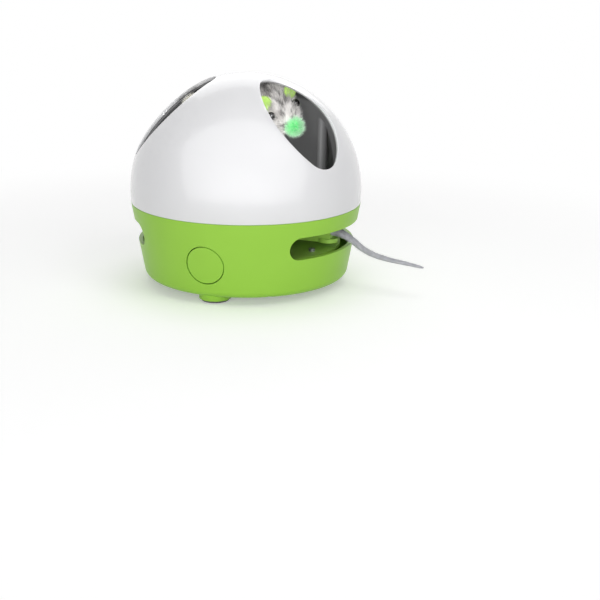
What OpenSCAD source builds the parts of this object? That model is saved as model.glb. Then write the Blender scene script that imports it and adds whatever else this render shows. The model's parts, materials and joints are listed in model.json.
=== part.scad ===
/* [Dome] */
// Outside radius of the round dome
dome_r = 85; // [80:0.5:95]
// Height of the dome's centre above the floor
dome_centre_z = 68; // [65:0.5:72]
// Wall of the dome
dome_wall = 2.2; // [1.8:0.1:2.8]
// Gap between the dome and its dark liner
liner_gap = 0.2; // [0.1:0.05:0.5]
// Wall of the dark liner
liner_wall = 1; // [0.8:0.1:1.6]
// How much larger the liner's windows are than the dome's
liner_window_step = 1; // [0.5:0.1:3]
// Height of the seam between the dome and the base
seam_z = 60.5; // [58:0.5:62]

/* [Windows] */
// Half length of a window, along the dome
window_long = 40.5; // [34:0.5:43]
// Half width of a window
window_short = 26.5; // [22:0.5:30]
// Elevation of the middle of a window, seen from the dome's centre
window_elevation = 46.5; // [44:0.5:50]
// Turn of the two side windows away from the front
window_turn = 65; // [60:0.5:72]

/* [Base] */
// Radius of the base wall at its foot
base_foot_r = 76; // [74:0.1:80]
// Wall of the base
base_wall = 3; // [2.4:0.1:3.4]
// Clear height under the base
base_lift = 5.5; // [5:0.1:6]
// Thickness of the bottom plate
bottom_plate = 3; // [2.8:0.1:4]
// Rounding of the bottom edge
edge_round = 6; // [4:0.5:7]
// Radius of the circle on which the feet stand
foot_circle_r = 60.5; // [56:0.5:63]
// Radius of a rubber pad
pad_r = 9.8; // [8:0.1:10.5]
// Thickness of a rubber pad
pad_h = 2.8; // [2.4:0.1:3.4]
// Width of the rim around a pad
pad_rim = 1.7; // [1:0.1:2.5]
// How deep a pad sits in its rim
pad_seat = 1; // [0.6:0.1:1.4]

/* [Slots] */
// Height of a side slot
slot_h = 16.5; // [14:0.5:17]
// Height of the middle of a side slot
slot_mid_z = 40.75; // [39.5:0.25:41.5]
// Half of the angle that a slot takes up
slot_half_angle = 47; // [45:0.5:49]

/* [Case screws] */
// Radius of the circle of case screws
case_screw_circle_r = 70; // [69:0.1:70.5]
// Turn of the front case screws away from the front
case_screw_front_turn = 34; // [31:0.5:36]
// Turn of the rear case screws away from the front
case_screw_rear_turn = 145.5; // [143:0.5:149]
// Radius of a case post
case_post_r = 4.8; // [4.4:0.1:5]
// Radius of the bore that takes the screw's head
case_bore_r = 3.2; // [3:0.05:3.5]
// Radius of a case screw's shank
case_shank_r = 1.5; // [1.2:0.05:1.8]
// Thickness of post left under the screw's head
case_seat_h = 6; // [4:0.5:8]
// Length of a case screw's shank
case_shank_l = 17; // [15:0.5:20]
// Height of a screw's head
screw_head_h = 2; // [1.6:0.1:2.6]

/* [Deck and floor] */
// Height of the deck's lower face, the ceiling over the tail
deck_z = 50; // [49.8:0.1:51]
// Thickness of the deck
deck_t = 2.5; // [2:0.1:3]
// Gap between the deck and the base wall
deck_gap = 0.3; // [0.2:0.05:0.6]
// Height of the floor plate under the tail
floor_z = 28.5; // [28:0.1:29]
// Thickness of the floor plate
floor_t = 2; // [1.6:0.1:2.2]
// Radius of the floor plate
floor_r = 70; // [67:0.5:72]
// Radius of the circle of floor screws
floor_screw_circle_r = 60; // [57:0.5:62]
// Turn of the two side floor screws away from the tail's line
floor_screw_turn = 17; // [14:0.5:20]
// Radius of a floor screw boss
floor_boss_r = 4; // [3.5:0.1:4.5]
// Radius of a small screw's shank
small_shank_r = 1.1; // [0.9:0.05:1.3]
// Radius of a small screw's head
small_head_r = 2.3; // [1.9:0.1:2.6]
// Length of a small screw's shank
small_shank_l = 8; // [6:0.5:10]

/* [Centre post] */
// Radius of the steel post
post_r = 2.5; // [2:0.1:3]
// Running clearance on the post
run_gap = 0.05; // [0.03:0.01:0.08]
// Radius of the bosses that hold the post
post_boss_r = 7; // [6:0.5:8]
// Axial play of the pieces that turn on the post
end_play = 0.3; // [0.2:0.05:0.5]
// Depth of the clip's groove in the post
clip_groove = 0.5; // [0.3:0.05:0.7]
// Thickness of the clip
clip_t = 0.8; // [0.6:0.1:1]
// Outside radius of the clip
clip_r = 4.6; // [4:0.1:6]

/* [Gears] */
// Module of the gear teeth
gear_module = 1; // [0.98:0.01:1.02]
// Teeth that a whole tail sector would have
sector_teeth = 70; // [70:1:72]
// Teeth of the gear under the turntable
carousel_teeth = 68; // [66:1:70]
// Teeth of a motor pinion
pinion_teeth = 16; // [16:1:17]
// Play left between the flanks of two teeth
gear_backlash = 0.3; // [0.2:0.02:0.4]
// Face width of a pinion
pinion_face = 3.6; // [3.2:0.1:3.7]
// Half of the angle that the tail sector takes up
sector_half_angle = 46; // [44:0.5:48]

/* [Motors] */
// Width of a gear motor
motor_w = 12; // [11:0.1:12.5]
// Depth of a gear motor
motor_d = 10; // [9:0.1:10.5]
// Length of the motor can
motor_can_l = 10; // [8:0.1:10.2]
// Length of the motor's gear case
motor_gear_l = 9; // [8:0.1:9.2]
// Radius of a motor shaft
motor_shaft_r = 1.5; // [1.2:0.05:1.8]
// Gap around a shaft where it passes a plate
shaft_gap = 0.4; // [0.3:0.05:0.8]
// Azimuth of the carousel motor
carousel_motor_az = 68; // [66:0.5:72]

/* [Turntable] */
// Radius of the turntable
table_r = 63; // [60:0.5:64.5]
// Thickness of the turntable
table_t = 2.2; // [1.8:0.1:3]
// Width of the turntable's raised rim
table_rim_w = 2; // [1.5:0.1:3]
// Height of the turntable's raised rim
table_rim_h = 3; // [2:0.1:5]
// Thickness of the carousel gear
carousel_gear_t = 4; // [3.9:0.1:5]
// Radius of the carousel hub
hub_r = 8; // [7:0.1:9]
// Length of the carousel hub
hub_l = 13; // [11:0.5:16]
// Wall of the bush in the hub
bush_wall = 1.5; // [1:0.1:2]
// Radius of the circle of turntable screws
table_screw_circle_r = 20; // [16:0.5:24]

/* [Tail] */
// Thickness of the tail lever
lever_t = 3; // [2.6:0.1:3.6]
// Width of the tail lever
lever_w = 9; // [7:0.5:11]
// Radius of the lever's hub
lever_hub_r = 8; // [7:0.1:9]
// Reach of the lever, from the post to the middle of its round pad
lever_reach = 64; // [61:0.5:65]
// Radius of the lever's round pad
lever_pad_r = 7.5; // [6.5:0.1:8.5]
// Height of the lever above the floor plate
lever_lift = 3.8; // [3.5:0.1:4.2]
// Half width of the tail at its root
tail_root_half_w = 3.8; // [3:0.1:4.2]
// Half thickness of the tail at its root
tail_root_half_t = 2.4; // [2:0.1:2.8]
// Half width of the tail at its tip
tail_tip_half_w = 1.3; // [1:0.1:2]
// Half thickness of the tail at its tip
tail_tip_half_t = 1; // [0.8:0.1:1.4]
// Wall of the socket that holds the tail
socket_wall = 1.7; // [1.4:0.1:2]
// Depth of the socket that holds the tail
socket_depth = 10; // [8:0.5:11]

/* [Button] */
// Radius of the round front button
button_r = 13.7; // [12:0.1:14]
// Gap around the front button
button_gap = 0.4; // [0.35:0.05:0.6]
// Height of the middle of the front button
button_z = 29.5; // [28.5:0.5:30.5]
// Travel of the front button
button_travel = 1.2; // [0.8:0.1:1.3]
// Width of the button's stop flange
button_flange = 1.5; // [1:0.1:2]
// Thickness of the button's stop flange
button_flange_t = 1.4; // [1:0.1:1.6]

/* [Board and switches] */
// Width of the circuit board
board_w = 34; // [30:0.5:38]
// Height of the circuit board
board_h = 24; // [23:0.5:26]
// Thickness of the circuit board
board_t = 1.6; // [1:0.1:2]
// Distance of the board's front face behind the button's back
board_front = 7.5; // [7.4:0.1:8.5]
// Width of a tact switch
tact_w = 6; // [5:0.1:8]
// Depth of a tact switch
tact_d = 4.5; // [4:0.1:5]
// Radius of a tact switch's plunger
tact_plunger_r = 1.7; // [1.2:0.1:2]
// Distance of the power switch from the middle
power_reach = 43; // [42:0.5:44]
// Length of the shallow pocket round the power switch
power_pocket_l = 19.5; // [17:0.5:22]
// Width of the shallow pocket round the power switch
power_pocket_w = 8; // [6.5:0.1:9]
// Depth of the shallow pocket round the power switch
power_pocket_d = 1.2; // [0.8:0.1:1.6]
// Length of the power knob
knob_l = 4.5; // [4:0.1:5.5]
// Width of the power knob
knob_w = 3.6; // [3:0.1:4.2]
// Travel of the power knob
knob_travel = 4.5; // [3:0.1:5]
// Gap around the power knob
knob_gap = 0.3; // [0.2:0.05:0.5]
// Height of the power switch body
power_body_h = 5.5; // [5:0.1:6.5]

/* [Batteries] */
// Radius of a cell
cell_r = 7.25; // [7:0.05:7.4]
// Length of a cell without its nub
cell_l = 49.2; // [48:0.1:49.5]
// Radius of a cell's nub
nub_r = 2.75; // [2.3:0.05:3]
// Length of a cell's nub
nub_l = 1.3; // [1:0.1:1.5]
// Spacing of the cells
cell_pitch = 14.9; // [14.85:0.05:15.1]
// Number of cells
cell_count = 4; // [2:2:4]
// Clear length of the battery bay
bay_l = 59; // [57.5:0.5:61]
// Clear depth of the battery bay above the bottom plate
bay_depth = 15.5; // [15:0.1:16]
// Wall of the battery box
bay_wall = 1.6; // [1.2:0.1:2]
// Thickness of a contact plate
contact_t = 0.5; // [0.3:0.1:0.8]

/* [Battery door] */
// Width of the battery door
door_w = 73.5; // [70:0.5:76]
// Length of the battery door
door_l = 69; // [67:0.5:71]
// Distance of the door's middle from the base's middle, towards the front
door_shift = 0.9; // [0.4:0.1:1.4]
// Thickness of the battery door
door_t = 2; // [1.6:0.1:2.2]
// Rounding of the door's corners
door_corner = 2.5; // [1.5:0.5:4]
// Gap around the battery door
door_gap = 0.4; // [0.3:0.05:0.6]
// Width of the door's latch tongue
tongue_w = 22.5; // [18:0.5:26]
// Length of the door's latch tongue
tongue_l = 11.5; // [9:0.5:13]
// Depth of the ribbed trough in the tongue
trough_d = 1.2; // [0.8:0.1:1.4]
// Border left around the trough
trough_border = 1.2; // [1:0.1:2]
// Spacing of the ribs in the trough
rib_pitch = 1.8; // [1.5:0.1:2.5]
// Width of the finger tab behind the tongue
tab_w = 14.5; // [10:0.5:18]
// Length of the finger tab behind the tongue
tab_l = 9; // [8:0.5:12]
// Rounding of the finger tab's corners
tab_corner = 3.5; // [2:0.5:5]
// Radius of the finger notch at the end of the tab
notch_r = 6; // [5:0.5:7]
// Depth of the finger notch
notch_d = 1.6; // [1:0.1:1.8]
// Radius of the door's hinge pins
door_pin_r = 0.6; // [0.5:0.05:0.7]
// Length of a hinge pin beyond the door's knuckle
door_pin_l = 6; // [5:0.5:7]

/* [Mouse] */
// Gap between the soft pieces and the liner
plush_limit_gap = 0.4; // [0.3:0.05:1]
// Depth of the mouse's middle under the top of the dome
mouse_drop = 26; // [24:0.5:28]
// Half width of the mouse's head
head_half_w = 17; // [14:0.5:18]
// Length of the mouse's head behind its middle
head_back_l = 16; // [13:0.5:17]
// Length of the mouse's head before its middle
head_front_l = 24; // [20:0.5:26]
// Half width of the mouse's body
body_half_w = 16.5; // [13:0.5:17]
// Radius of an ear
ear_r = 6; // [4:0.1:6.5]
// Thickness of an ear
ear_t = 2.2; // [1.6:0.1:3]
// Radius of an eye
eye_r = 3.2; // [2.5:0.1:4]
// Radius of the fluffy nose
nose_r = 7.5; // [6:0.1:8]
// Radius of the fluffy ball behind the mouse
rump_ball_r = 9.5; // [7:0.1:10]
// Radius of the arm that carries the mouse
arm_r = 4; // [3:0.1:5]
// Width of the arm's flared foot beyond the arm
arm_foot_w = 4; // [3:0.1:5]
// Height of the arm's flared foot
arm_foot_h = 5; // [4:0.1:6]

/* [Hidden] */
$fn = 96;

// Azimuths count from +X towards +Y, and the front faces -Y
front_az = 270;
tail_az = 0;
slot_azimuths = [tail_az, tail_az + 180];
window_azimuths = [front_az + window_turn, front_az - window_turn];
foot_azimuths = [front_az, front_az + 120, front_az - 120];
case_azimuths = [
    for (turn = [case_screw_front_turn, case_screw_rear_turn]) for (side = [1, -1]) front_az + side * turn
];
floor_screw_azimuths = [tail_az - floor_screw_turn, tail_az + 180 + floor_screw_turn, front_az + 180];
table_screw_azimuths = [30, 150, 270];
eps = 0.01;
cut = 5;

// Dome and base
seam_r = sqrt(pow(dome_r, 2) - pow(seam_z - dome_centre_z, 2));
dome_in_r = dome_r - dome_wall;
liner_out_r = dome_in_r - liner_gap;
liner_in_r = liner_out_r - liner_wall;
window_end_share = 0.96;
window_end_r = window_end_share * pow(window_short, 2) / window_long;
plate_top = base_lift + bottom_plate;
foot_line_z = base_lift + edge_round;
wall_slope = (seam_r - base_foot_r) / (seam_z - foot_line_z);
wall_lean = sqrt(1 + pow(wall_slope, 2));
edge_centre = [base_foot_r - edge_round * wall_lean, foot_line_z];
edge_end = edge_centre + edge_round / wall_lean * [1, -wall_slope];
slot_r = wall_r(slot_mid_z);
slot_turn = slot_half_angle - asin(slot_h / 2 / slot_r);
slot_depth = 12;

// Post, lever and carousel heights
floor_top = floor_z + floor_t;
deck_top = deck_z + deck_t;
lever_z = floor_top + lever_lift;
post_boss_h = 4;
lever_hub_top = deck_z - post_boss_h - end_play;
post_foot_z = floor_z - 2;
carousel_z = deck_top + 2 * end_play;
carousel_gear_top = carousel_z + carousel_gear_t;
hub_top = carousel_z + hub_l;
bush_r = post_r + run_gap + bush_wall;
clip_z = hub_top + end_play;
post_top = clip_z + clip_t + 2;
table_top = carousel_gear_top + table_t;

// Gears and motors
sector_r = gear_module * sector_teeth / 2;
pinion_r = gear_module * pinion_teeth / 2;
sector_count = floor(sector_half_angle * sector_teeth / 360);
tail_motor_reach = sector_r + pinion_r;
carousel_motor_reach = gear_module * carousel_teeth / 2 + pinion_r;
carousel_motor_turn = carousel_motor_az * carousel_teeth / pinion_teeth;

// Button, board and switches
button_face_y = -wall_r(button_z);
button_flange_r = button_r + button_flange;
button_wall_r = wall_r(button_z - button_flange_r) - base_wall * wall_lean;
button_flange_y = 0.4 - sqrt(pow(button_wall_r, 2) - pow(button_flange_r, 2));
button_back_y = button_flange_y + button_flange_t;
board_front_y = button_back_y + board_front;
tact_face_y = board_front_y - tact_d;
tact_bore = button_travel + 2.4;
board_z = button_z - board_h / 2;
board_room = 9;
knob_half_track = (knob_l + knob_travel) / 2 + knob_gap;

// Battery bay
door_y = -door_shift;
door_front_y = door_y - door_l / 2;
door_rear_y = door_y + door_l / 2;
tongue_end_y = door_rear_y + tongue_l;
hinge_y = door_front_y + door_t / 2;
hinge_z = base_lift + door_t / 2;
knuckle_half_l = door_w / 2 - door_corner;
bay_w = cell_count * cell_pitch + 0.4;
bay_top = plate_top + bay_depth;
cell_z = base_lift + door_t + 0.4 + cell_r;
cell_back_x = (cell_l + nub_l) / 2;

// Tail route, from the socket to the tip, in the plane of the lever
tail_route = [
    [57, 42], [62, 42], [67, 42], [72, 41.4], [77, 39.6], [83, 36.3], [90, 31.2], [99, 27.2], [110, 24.8],
    [121, 23.4], [129, 22.3], [136, 21.3]
];
tail_last = len(tail_route) - 1;
socket_gap = 0.02;

// The mouse runs clockwise round the post, looking out and down
plush_limit_r = liner_in_r - plush_limit_gap;
mouse_z = dome_centre_z + dome_r - mouse_drop;
head_place = [17, 12.5, mouse_z];
head_turn = -27.4;
head_pitch = 27;
head_roll = 24;
head_rings = 14;
body_rings = 16;
body_start = [35, 182, mouse_z - 6];
body_end = [25, 52, mouse_z];
rump_place = [39, 190, mouse_z + 0.8];
arm_place = [29, 112];
arm_top_z = mouse_z - 10;
ear_place = [3.5, 0.68 * head_half_w, 0.62 * head_half_w];
eye_place = [11, 0.65 * head_half_w, 0.38 * head_half_w];
eye_lean = atan2(eye_place[1], eye_place[2]);
nose_seat = 0.6 * nose_r;

function wall_r(z) = base_foot_r + wall_slope * (z - foot_line_z);
function polar(r, az, z) = [r * cos(az), r * sin(az), z];
function unit(v) = v / norm(v);
function mix(a, b, t) = a + (b - a) * t;

// Rings of a soft form along a route, joined by triangles
function route_dir(route, i) = unit(route[min(i + 1, len(route) - 1)] - route[max(i - 1, 0)]);
function form_ring(route, i, w, h, n) =
    let (d = route_dir(route, i), s = unit(cross([0, 0, 1], d)), u = cross(d, s))
    [for (k = [0:n - 1]) route[i] + s * w * cos(360 * k / n) + u * h * sin(360 * k / n)];
function form_band(i, n) = [
    for (k = [0:n - 1])
        let (a = i * n + k, b = i * n + (k + 1) % n)
        each [[a, a + n, b + n], [a, b + n, b]]
];

module soft_form(route, widths, heights, sides) {
    last = len(route) - 1;
    points = [for (i = [0:last]) each form_ring(route, i, widths[i], heights[i], sides)];
    bands = [for (i = [0:last - 1]) each form_band(i, sides)];
    start_cap = [for (k = [1:sides - 2]) [0, k, k + 1]];
    end_cap = [for (k = [1:sides - 2]) [last * sides, last * sides + k + 1, last * sides + k]];
    polyhedron(points = points, faces = concat(bands, start_cap, end_cap), convexity = 4);
}

// Involute gear outline
function involute(r, base_r) = tan(acos(min(1, base_r / r))) * 180 / PI - acos(min(1, base_r / r));
function tooth_half(r, pitch_r, teeth) =
    let (base_r = pitch_r * cos(20))
    90 / teeth - gear_backlash / 2 / pitch_r * 180 / PI + involute(pitch_r, base_r) - involute(r, base_r);

module gear_outline(teeth, first, count) {
    pitch_r = gear_module * teeth / 2;
    root_r = pitch_r - 1.25 * gear_module;
    tip_r = pitch_r + 0.95 * gear_module;
    flank = [for (k = [0:4]) mix(root_r, tip_r, k / 4)];
    points = [
        for (i = [first:first + count - 1])
            each concat(
                [for (k = [0:4]) polar2(flank[k], i * 360 / teeth - tooth_half(flank[k], pitch_r, teeth))],
                [for (k = [4:-1:0]) polar2(flank[k], i * 360 / teeth + tooth_half(flank[k], pitch_r, teeth))]
            )
    ];
    polygon(count == teeth ? points : concat([[0, 0]], points));
}

function polar2(r, az) = [r * cos(az), r * sin(az)];

// Oval of four arcs, long along X
module oval(half_l, half_w, end_r) {
    side_r = (pow(half_l - end_r, 2) + pow(half_w, 2) - pow(end_r, 2)) / (2 * (half_w - end_r));
    reach = side_r * (half_l - end_r) / (side_r - end_r);
    for (side = [1, -1]) translate([side * (half_l - end_r), 0]) circle(end_r);
    intersection() {
        translate([0, side_r - half_w]) circle(side_r);
        translate([0, half_w - side_r]) circle(side_r);
        square([2 * reach, 2 * half_w], center = true);
    }
}

module rounded_plate(w, l, corner) {
    square([w - 2 * corner, l], center = true);
    square([w, l - 2 * corner], center = true);
    for (x = [1, -1]) for (y = [1, -1])
        translate([x * (w / 2 - corner), y * (l / 2 - corner)]) circle(corner);
}

module window_cuts(step) {
    for (az = window_azimuths)
        translate([0, 0, dome_centre_z])
            rotate([0, 90 - window_elevation, az])
                translate([0, 0, dome_r / 2])
                    linear_extrude(dome_r)
                        oval(window_long + step, window_short + step, window_end_r + step);
}

module dome_skin(out_r, in_r) {
    difference() {
        translate([0, 0, dome_centre_z]) sphere(out_r);
        translate([0, 0, dome_centre_z]) sphere(in_r);
        translate([0, 0, seam_z - 2 * dome_r]) cylinder(r = 2 * dome_r, h = 2 * dome_r);
    }
}

module slot_cut(az) {
    rotate([0, 0, az - slot_turn])
        rotate_extrude(angle = 2 * slot_turn)
            translate([slot_r - slot_depth, slot_mid_z - slot_h / 2])
                square([2 * slot_depth, slot_h]);
    for (side = [1, -1])
        rotate([0, 0, az + side * slot_turn])
            translate([slot_r - slot_depth, 0, slot_mid_z])
                rotate([0, 90, 0])
                    cylinder(r = slot_h / 2, h = 2 * slot_depth);
}

module base_outline() {
    polygon([
        [0, base_lift], [edge_centre[0], base_lift], edge_centre, edge_end, [seam_r, seam_z], [0, seam_z]
    ]);
    translate(edge_centre) circle(edge_round);
}

module base_hollow() {
    in_foot_r = wall_r(plate_top) - base_wall * wall_lean;
    in_top_r = wall_r(seam_z + cut) - base_wall * wall_lean;
    polygon([[0, plate_top], [in_foot_r, plate_top], [in_top_r, seam_z + cut], [0, seam_z + cut]]);
}

module door_outline(gap) {
    translate([0, door_y]) rounded_plate(door_w + 2 * gap, door_l + 2 * gap, door_corner + gap);
    translate([-tongue_w / 2 - gap, door_rear_y - 1]) square([tongue_w + 2 * gap, tongue_l + 1 + gap]);
    translate([0, tongue_end_y + tab_l / 2 - tab_corner])
        rounded_plate(tab_w + 2 * gap, tab_l + 2 * tab_corner + 2 * gap, tab_corner + gap);
}

// Square corners beside the hinge, where the door's edge turns
module door_swing_room() {
    translate([-door_w / 2 - door_gap, door_front_y - door_gap])
        square([door_w + 2 * door_gap, door_corner + door_gap]);
}

// Trough across the tongue, with ribs left standing in it
module tongue_trough() {
    trough_w = tongue_w - 2 * trough_border;
    trough_l = tongue_l - 2 * trough_border;
    rib_count = floor(trough_w / rib_pitch) - 1;
    difference() {
        translate([-trough_w / 2, door_rear_y + trough_border, base_lift - eps])
            cube([trough_w, trough_l, trough_d + eps]);
        for (i = [0:rib_count - 1])
            translate([(i - rib_count / 2 + 0.25) * rib_pitch, door_rear_y, base_lift + trough_d / 2])
                cube([rib_pitch / 2, tongue_l, trough_d]);
    }
}

module screw(shank_r, shank_l, head_r) {
    cylinder(r = shank_r, h = shank_l);
    difference() {
        translate([0, 0, -screw_head_h]) cylinder(r = head_r, h = screw_head_h);
        for (turn = [0, 90])
            rotate([0, 0, turn])
                translate([-head_r * 0.6, -0.35, -screw_head_h - eps])
                    cube([head_r * 1.2, 0.7, 1]);
    }
}

module board_rail(side) {
    rail_w = 4;
    rail_d = board_t + 4;
    translate([side * (board_w / 2 + 1) - rail_w / 2, board_front_y - 2, plate_top - eps])
        cube([rail_w, rail_d, board_z + board_h * 0.75 - plate_top]);
}

module base_shell() {
    color("yellowgreen")
    difference() {
        union() {
            difference() {
                rotate_extrude() base_outline();
                rotate_extrude() base_hollow();
            }
            for (az = case_azimuths)
                translate(polar(case_screw_circle_r, az, plate_top - eps))
                    cylinder(r = case_post_r, h = deck_z - plate_top + eps);
            for (az = floor_screw_azimuths)
                translate(polar(floor_screw_circle_r, az, plate_top - eps))
                    cylinder(r = floor_boss_r, h = floor_z - plate_top + eps);
            for (az = foot_azimuths)
                translate(polar(foot_circle_r, az, pad_h - pad_seat))
                    cylinder(r = pad_r + pad_rim, h = base_lift - pad_h + pad_seat + 1);
            for (side = [1, -1]) board_rail(side);
        }
        for (az = slot_azimuths) slot_cut(az);
        for (az = case_azimuths) {
            translate(polar(case_screw_circle_r, az, -eps))
                cylinder(r = case_bore_r, h = deck_z - case_seat_h + eps);
            translate(polar(case_screw_circle_r, az, 0)) cylinder(r = case_shank_r + 0.2, h = deck_z + cut);
        }
        for (az = floor_screw_azimuths)
            translate(polar(floor_screw_circle_r, az, floor_z + floor_t - small_shank_l - 0.5))
                cylinder(r = small_shank_r, h = small_shank_l + cut);
        for (az = foot_azimuths) translate(polar(foot_circle_r, az, -eps))
            cylinder(r = pad_r, h = pad_h + eps);
        translate([0, button_face_y - cut, button_z])
            rotate([-90, 0, 0])
                cylinder(r = button_r + button_gap, h = 3 * cut);
        translate([-board_w / 2 - 0.1, board_front_y - 0.05, board_z])
            cube([board_w + 0.2, board_t + 0.1, board_h + cut]);
        translate([0, 0, base_lift - eps])
            linear_extrude(door_t + 0.1 + eps) {
                door_outline(door_gap);
                door_swing_room();
            }
        translate([-bay_l / 2, door_y - bay_w / 2, 0]) cube([bay_l, bay_w, plate_top + cut]);
        translate([0, tongue_end_y + tab_l - notch_r / 3, base_lift - eps])
            cylinder(r = notch_r, h = notch_d + eps);
        for (side = [1, -1])
            translate([side * knuckle_half_l, hinge_y, hinge_z])
                rotate([0, side * 90, 0])
                    translate([0, 0, -1])
                        cylinder(r = door_pin_r + run_gap, h = door_pin_l + 1.3);
        translate([-power_pocket_l / 2, -power_reach - power_pocket_w / 2, base_lift - eps])
            cube([power_pocket_l, power_pocket_w, power_pocket_d + eps]);
        translate([-knob_half_track, -power_reach - knob_w / 2 - knob_gap, 0])
            cube([2 * knob_half_track, knob_w + 2 * knob_gap, plate_top + cut]);
    }
}

module floor_plate() {
    notch_half_w = board_w / 2 + board_room / 2;
    color("olivedrab")
    difference() {
        union() {
            translate([0, 0, floor_z]) cylinder(r = floor_r, h = floor_t);
            translate([0, 0, post_foot_z]) cylinder(r = post_boss_r, h = lever_z - end_play - post_foot_z);
        }
        translate([-notch_half_w, -floor_r - cut, floor_z - cut])
            cube([2 * notch_half_w, floor_r + cut + board_front_y + board_room, 3 * cut]);
        for (az = case_azimuths)
            translate(polar(case_screw_circle_r, az, 0)) cylinder(r = case_post_r + 0.3, h = deck_z);
        for (az = floor_screw_azimuths)
            translate(polar(floor_screw_circle_r, az, 0)) cylinder(r = small_shank_r + 0.1, h = deck_z);
        translate([-tail_motor_reach, 0, 0]) cylinder(r = motor_shaft_r + shaft_gap, h = deck_z);
        translate([0, 0, post_foot_z + 1]) cylinder(r = post_r, h = deck_z);
    }
}

module floor_screws() {
    color("silver")
    for (az = floor_screw_azimuths)
        translate(polar(floor_screw_circle_r, az, floor_top))
            mirror([0, 0, 1])
                screw(small_shank_r, small_shank_l, small_head_r);
}

module foot_pads() {
    color("dimgray")
    for (az = foot_azimuths) translate(polar(foot_circle_r, az, 0)) cylinder(r = pad_r, h = pad_h);
}

module case_screws() {
    color("silver")
    for (az = case_azimuths)
        translate(polar(case_screw_circle_r, az, deck_z - case_seat_h))
            screw(case_shank_r, case_shank_l, case_bore_r - 0.3);
}

module battery_box() {
    out_l = bay_l + 2 * bay_wall;
    out_w = bay_w + 2 * bay_wall;
    color("dimgray")
    difference() {
        translate([-out_l / 2, door_y - out_w / 2, plate_top]) cube([out_l, out_w, bay_depth + bay_wall]);
        translate([-bay_l / 2, door_y - bay_w / 2, plate_top - eps]) cube([bay_l, bay_w, bay_depth + eps]);
    }
}

module cell_places() {
    for (i = [0:cell_count - 1])
        translate([0, door_y + (i - (cell_count - 1) / 2) * cell_pitch, cell_z])
            rotate([0, 0, 180 * (i % 2)])
                children();
}

module battery_cells() {
    color("goldenrod")
    cell_places()
        translate([-cell_back_x, 0, 0])
            rotate([0, 90, 0]) {
                cylinder(r = cell_r, h = cell_l);
                cylinder(r = nub_r, h = cell_l + nub_l);
            }
}

module battery_contacts() {
    plate_half_w = cell_r * 0.8;
    spring_l = bay_l / 2 - contact_t - cell_back_x - 0.1;
    color("lightgray")
    cell_places()
        for (side = [1, -1]) {
            translate([side * (bay_l / 2 - contact_t / 2), 0, 0])
                cube([contact_t, 2 * plate_half_w, 2 * plate_half_w], center = true);
            translate([side * (bay_l / 2 - contact_t / 2), 0, 0])
                rotate([0, -side * 90, 0])
                    cylinder(r1 = 4.2, r2 = 2.4, h = spring_l + contact_t / 2);
        }
}

module battery_door() {
    color("yellowgreen") {
        difference() {
            translate([0, 0, base_lift]) linear_extrude(door_t) door_outline(0);
            translate([-door_w, hinge_y - door_l, 0]) cube([2 * door_w, door_l, plate_top]);
            tongue_trough();
        }
        translate([-knuckle_half_l, hinge_y, hinge_z])
            rotate([0, 90, 0])
                cylinder(r = door_t / 2, h = 2 * knuckle_half_l);
        translate([-knuckle_half_l - door_pin_l, hinge_y, hinge_z])
            rotate([0, 90, 0])
                cylinder(r = door_pin_r, h = 2 * (knuckle_half_l + door_pin_l));
    }
}

module power_switch() {
    half_l = knob_half_track + 1.6;
    half_w = knob_w / 2 + knob_gap + 1.5;
    color("gray")
    difference() {
        translate([-half_l, -power_reach - half_w, plate_top]) cube([2 * half_l, 2 * half_w, power_body_h]);
        translate([-knob_half_track, -power_reach - knob_w / 2 - knob_gap, plate_top - eps])
            cube([2 * knob_half_track, knob_w + 2 * knob_gap, power_body_h / 2 + eps]);
    }
}

module power_knob() {
    knob_foot = base_lift + 0.3;
    knob_top = plate_top + power_body_h / 2 - knob_gap;
    groove = 0.5;
    color("black")
    difference() {
        translate([-knob_travel / 2 - knob_l / 2, -power_reach - knob_w / 2, knob_foot])
            cube([knob_l, knob_w, knob_top - knob_foot]);
        for (i = [-1, 0, 1])
            translate([2 * i * groove - (knob_travel + groove) / 2, -power_reach - knob_w, knob_foot - eps])
                cube([groove, 2 * knob_w, groove]);
    }
}

module circuit_board() {
    color("seagreen")
    translate([-board_w / 2, board_front_y, board_z]) cube([board_w, board_t, board_h]);
}

module tact_switch() {
    color("darkslategray")
    difference() {
        translate([-tact_w / 2, tact_face_y, button_z - tact_w / 2]) cube([tact_w, tact_d, tact_w]);
        translate([0, tact_face_y - eps, button_z])
            rotate([-90, 0, 0])
                cylinder(r = tact_plunger_r + run_gap, h = tact_bore + eps);
    }
}

module tact_plunger() {
    plunger_end_y = tact_face_y + tact_bore - button_travel - 0.2;
    color("black")
    translate([0, button_back_y, button_z])
        rotate([-90, 0, 0])
            cylinder(r = tact_plunger_r, h = plunger_end_y - button_back_y);
}

module button_cylinder(r, start_y, end_y) {
    translate([0, start_y, button_z]) rotate([-90, 0, 0]) cylinder(r = r, h = end_y - start_y);
}

module front_button() {
    color("yellowgreen")
    difference() {
        union() {
            intersection() {
                rotate_extrude() base_outline();
                button_cylinder(button_r, button_face_y - cut, button_back_y);
            }
            button_cylinder(button_flange_r, button_flange_y, button_back_y);
        }
        difference() {
            button_cylinder(button_r - 2, button_face_y + base_wall, button_back_y + cut);
            button_cylinder(tact_plunger_r + 1.5, button_face_y, button_back_y);
        }
    }
}

module centre_post() {
    color("lightsteelblue")
    difference() {
        translate([0, 0, post_foot_z + 1]) cylinder(r = post_r, h = post_top - post_foot_z - 1);
        translate([0, 0, clip_z])
            difference() {
                cylinder(r = post_r + 1, h = clip_t);
                cylinder(r = post_r - clip_groove, h = clip_t);
            }
    }
}

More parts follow.
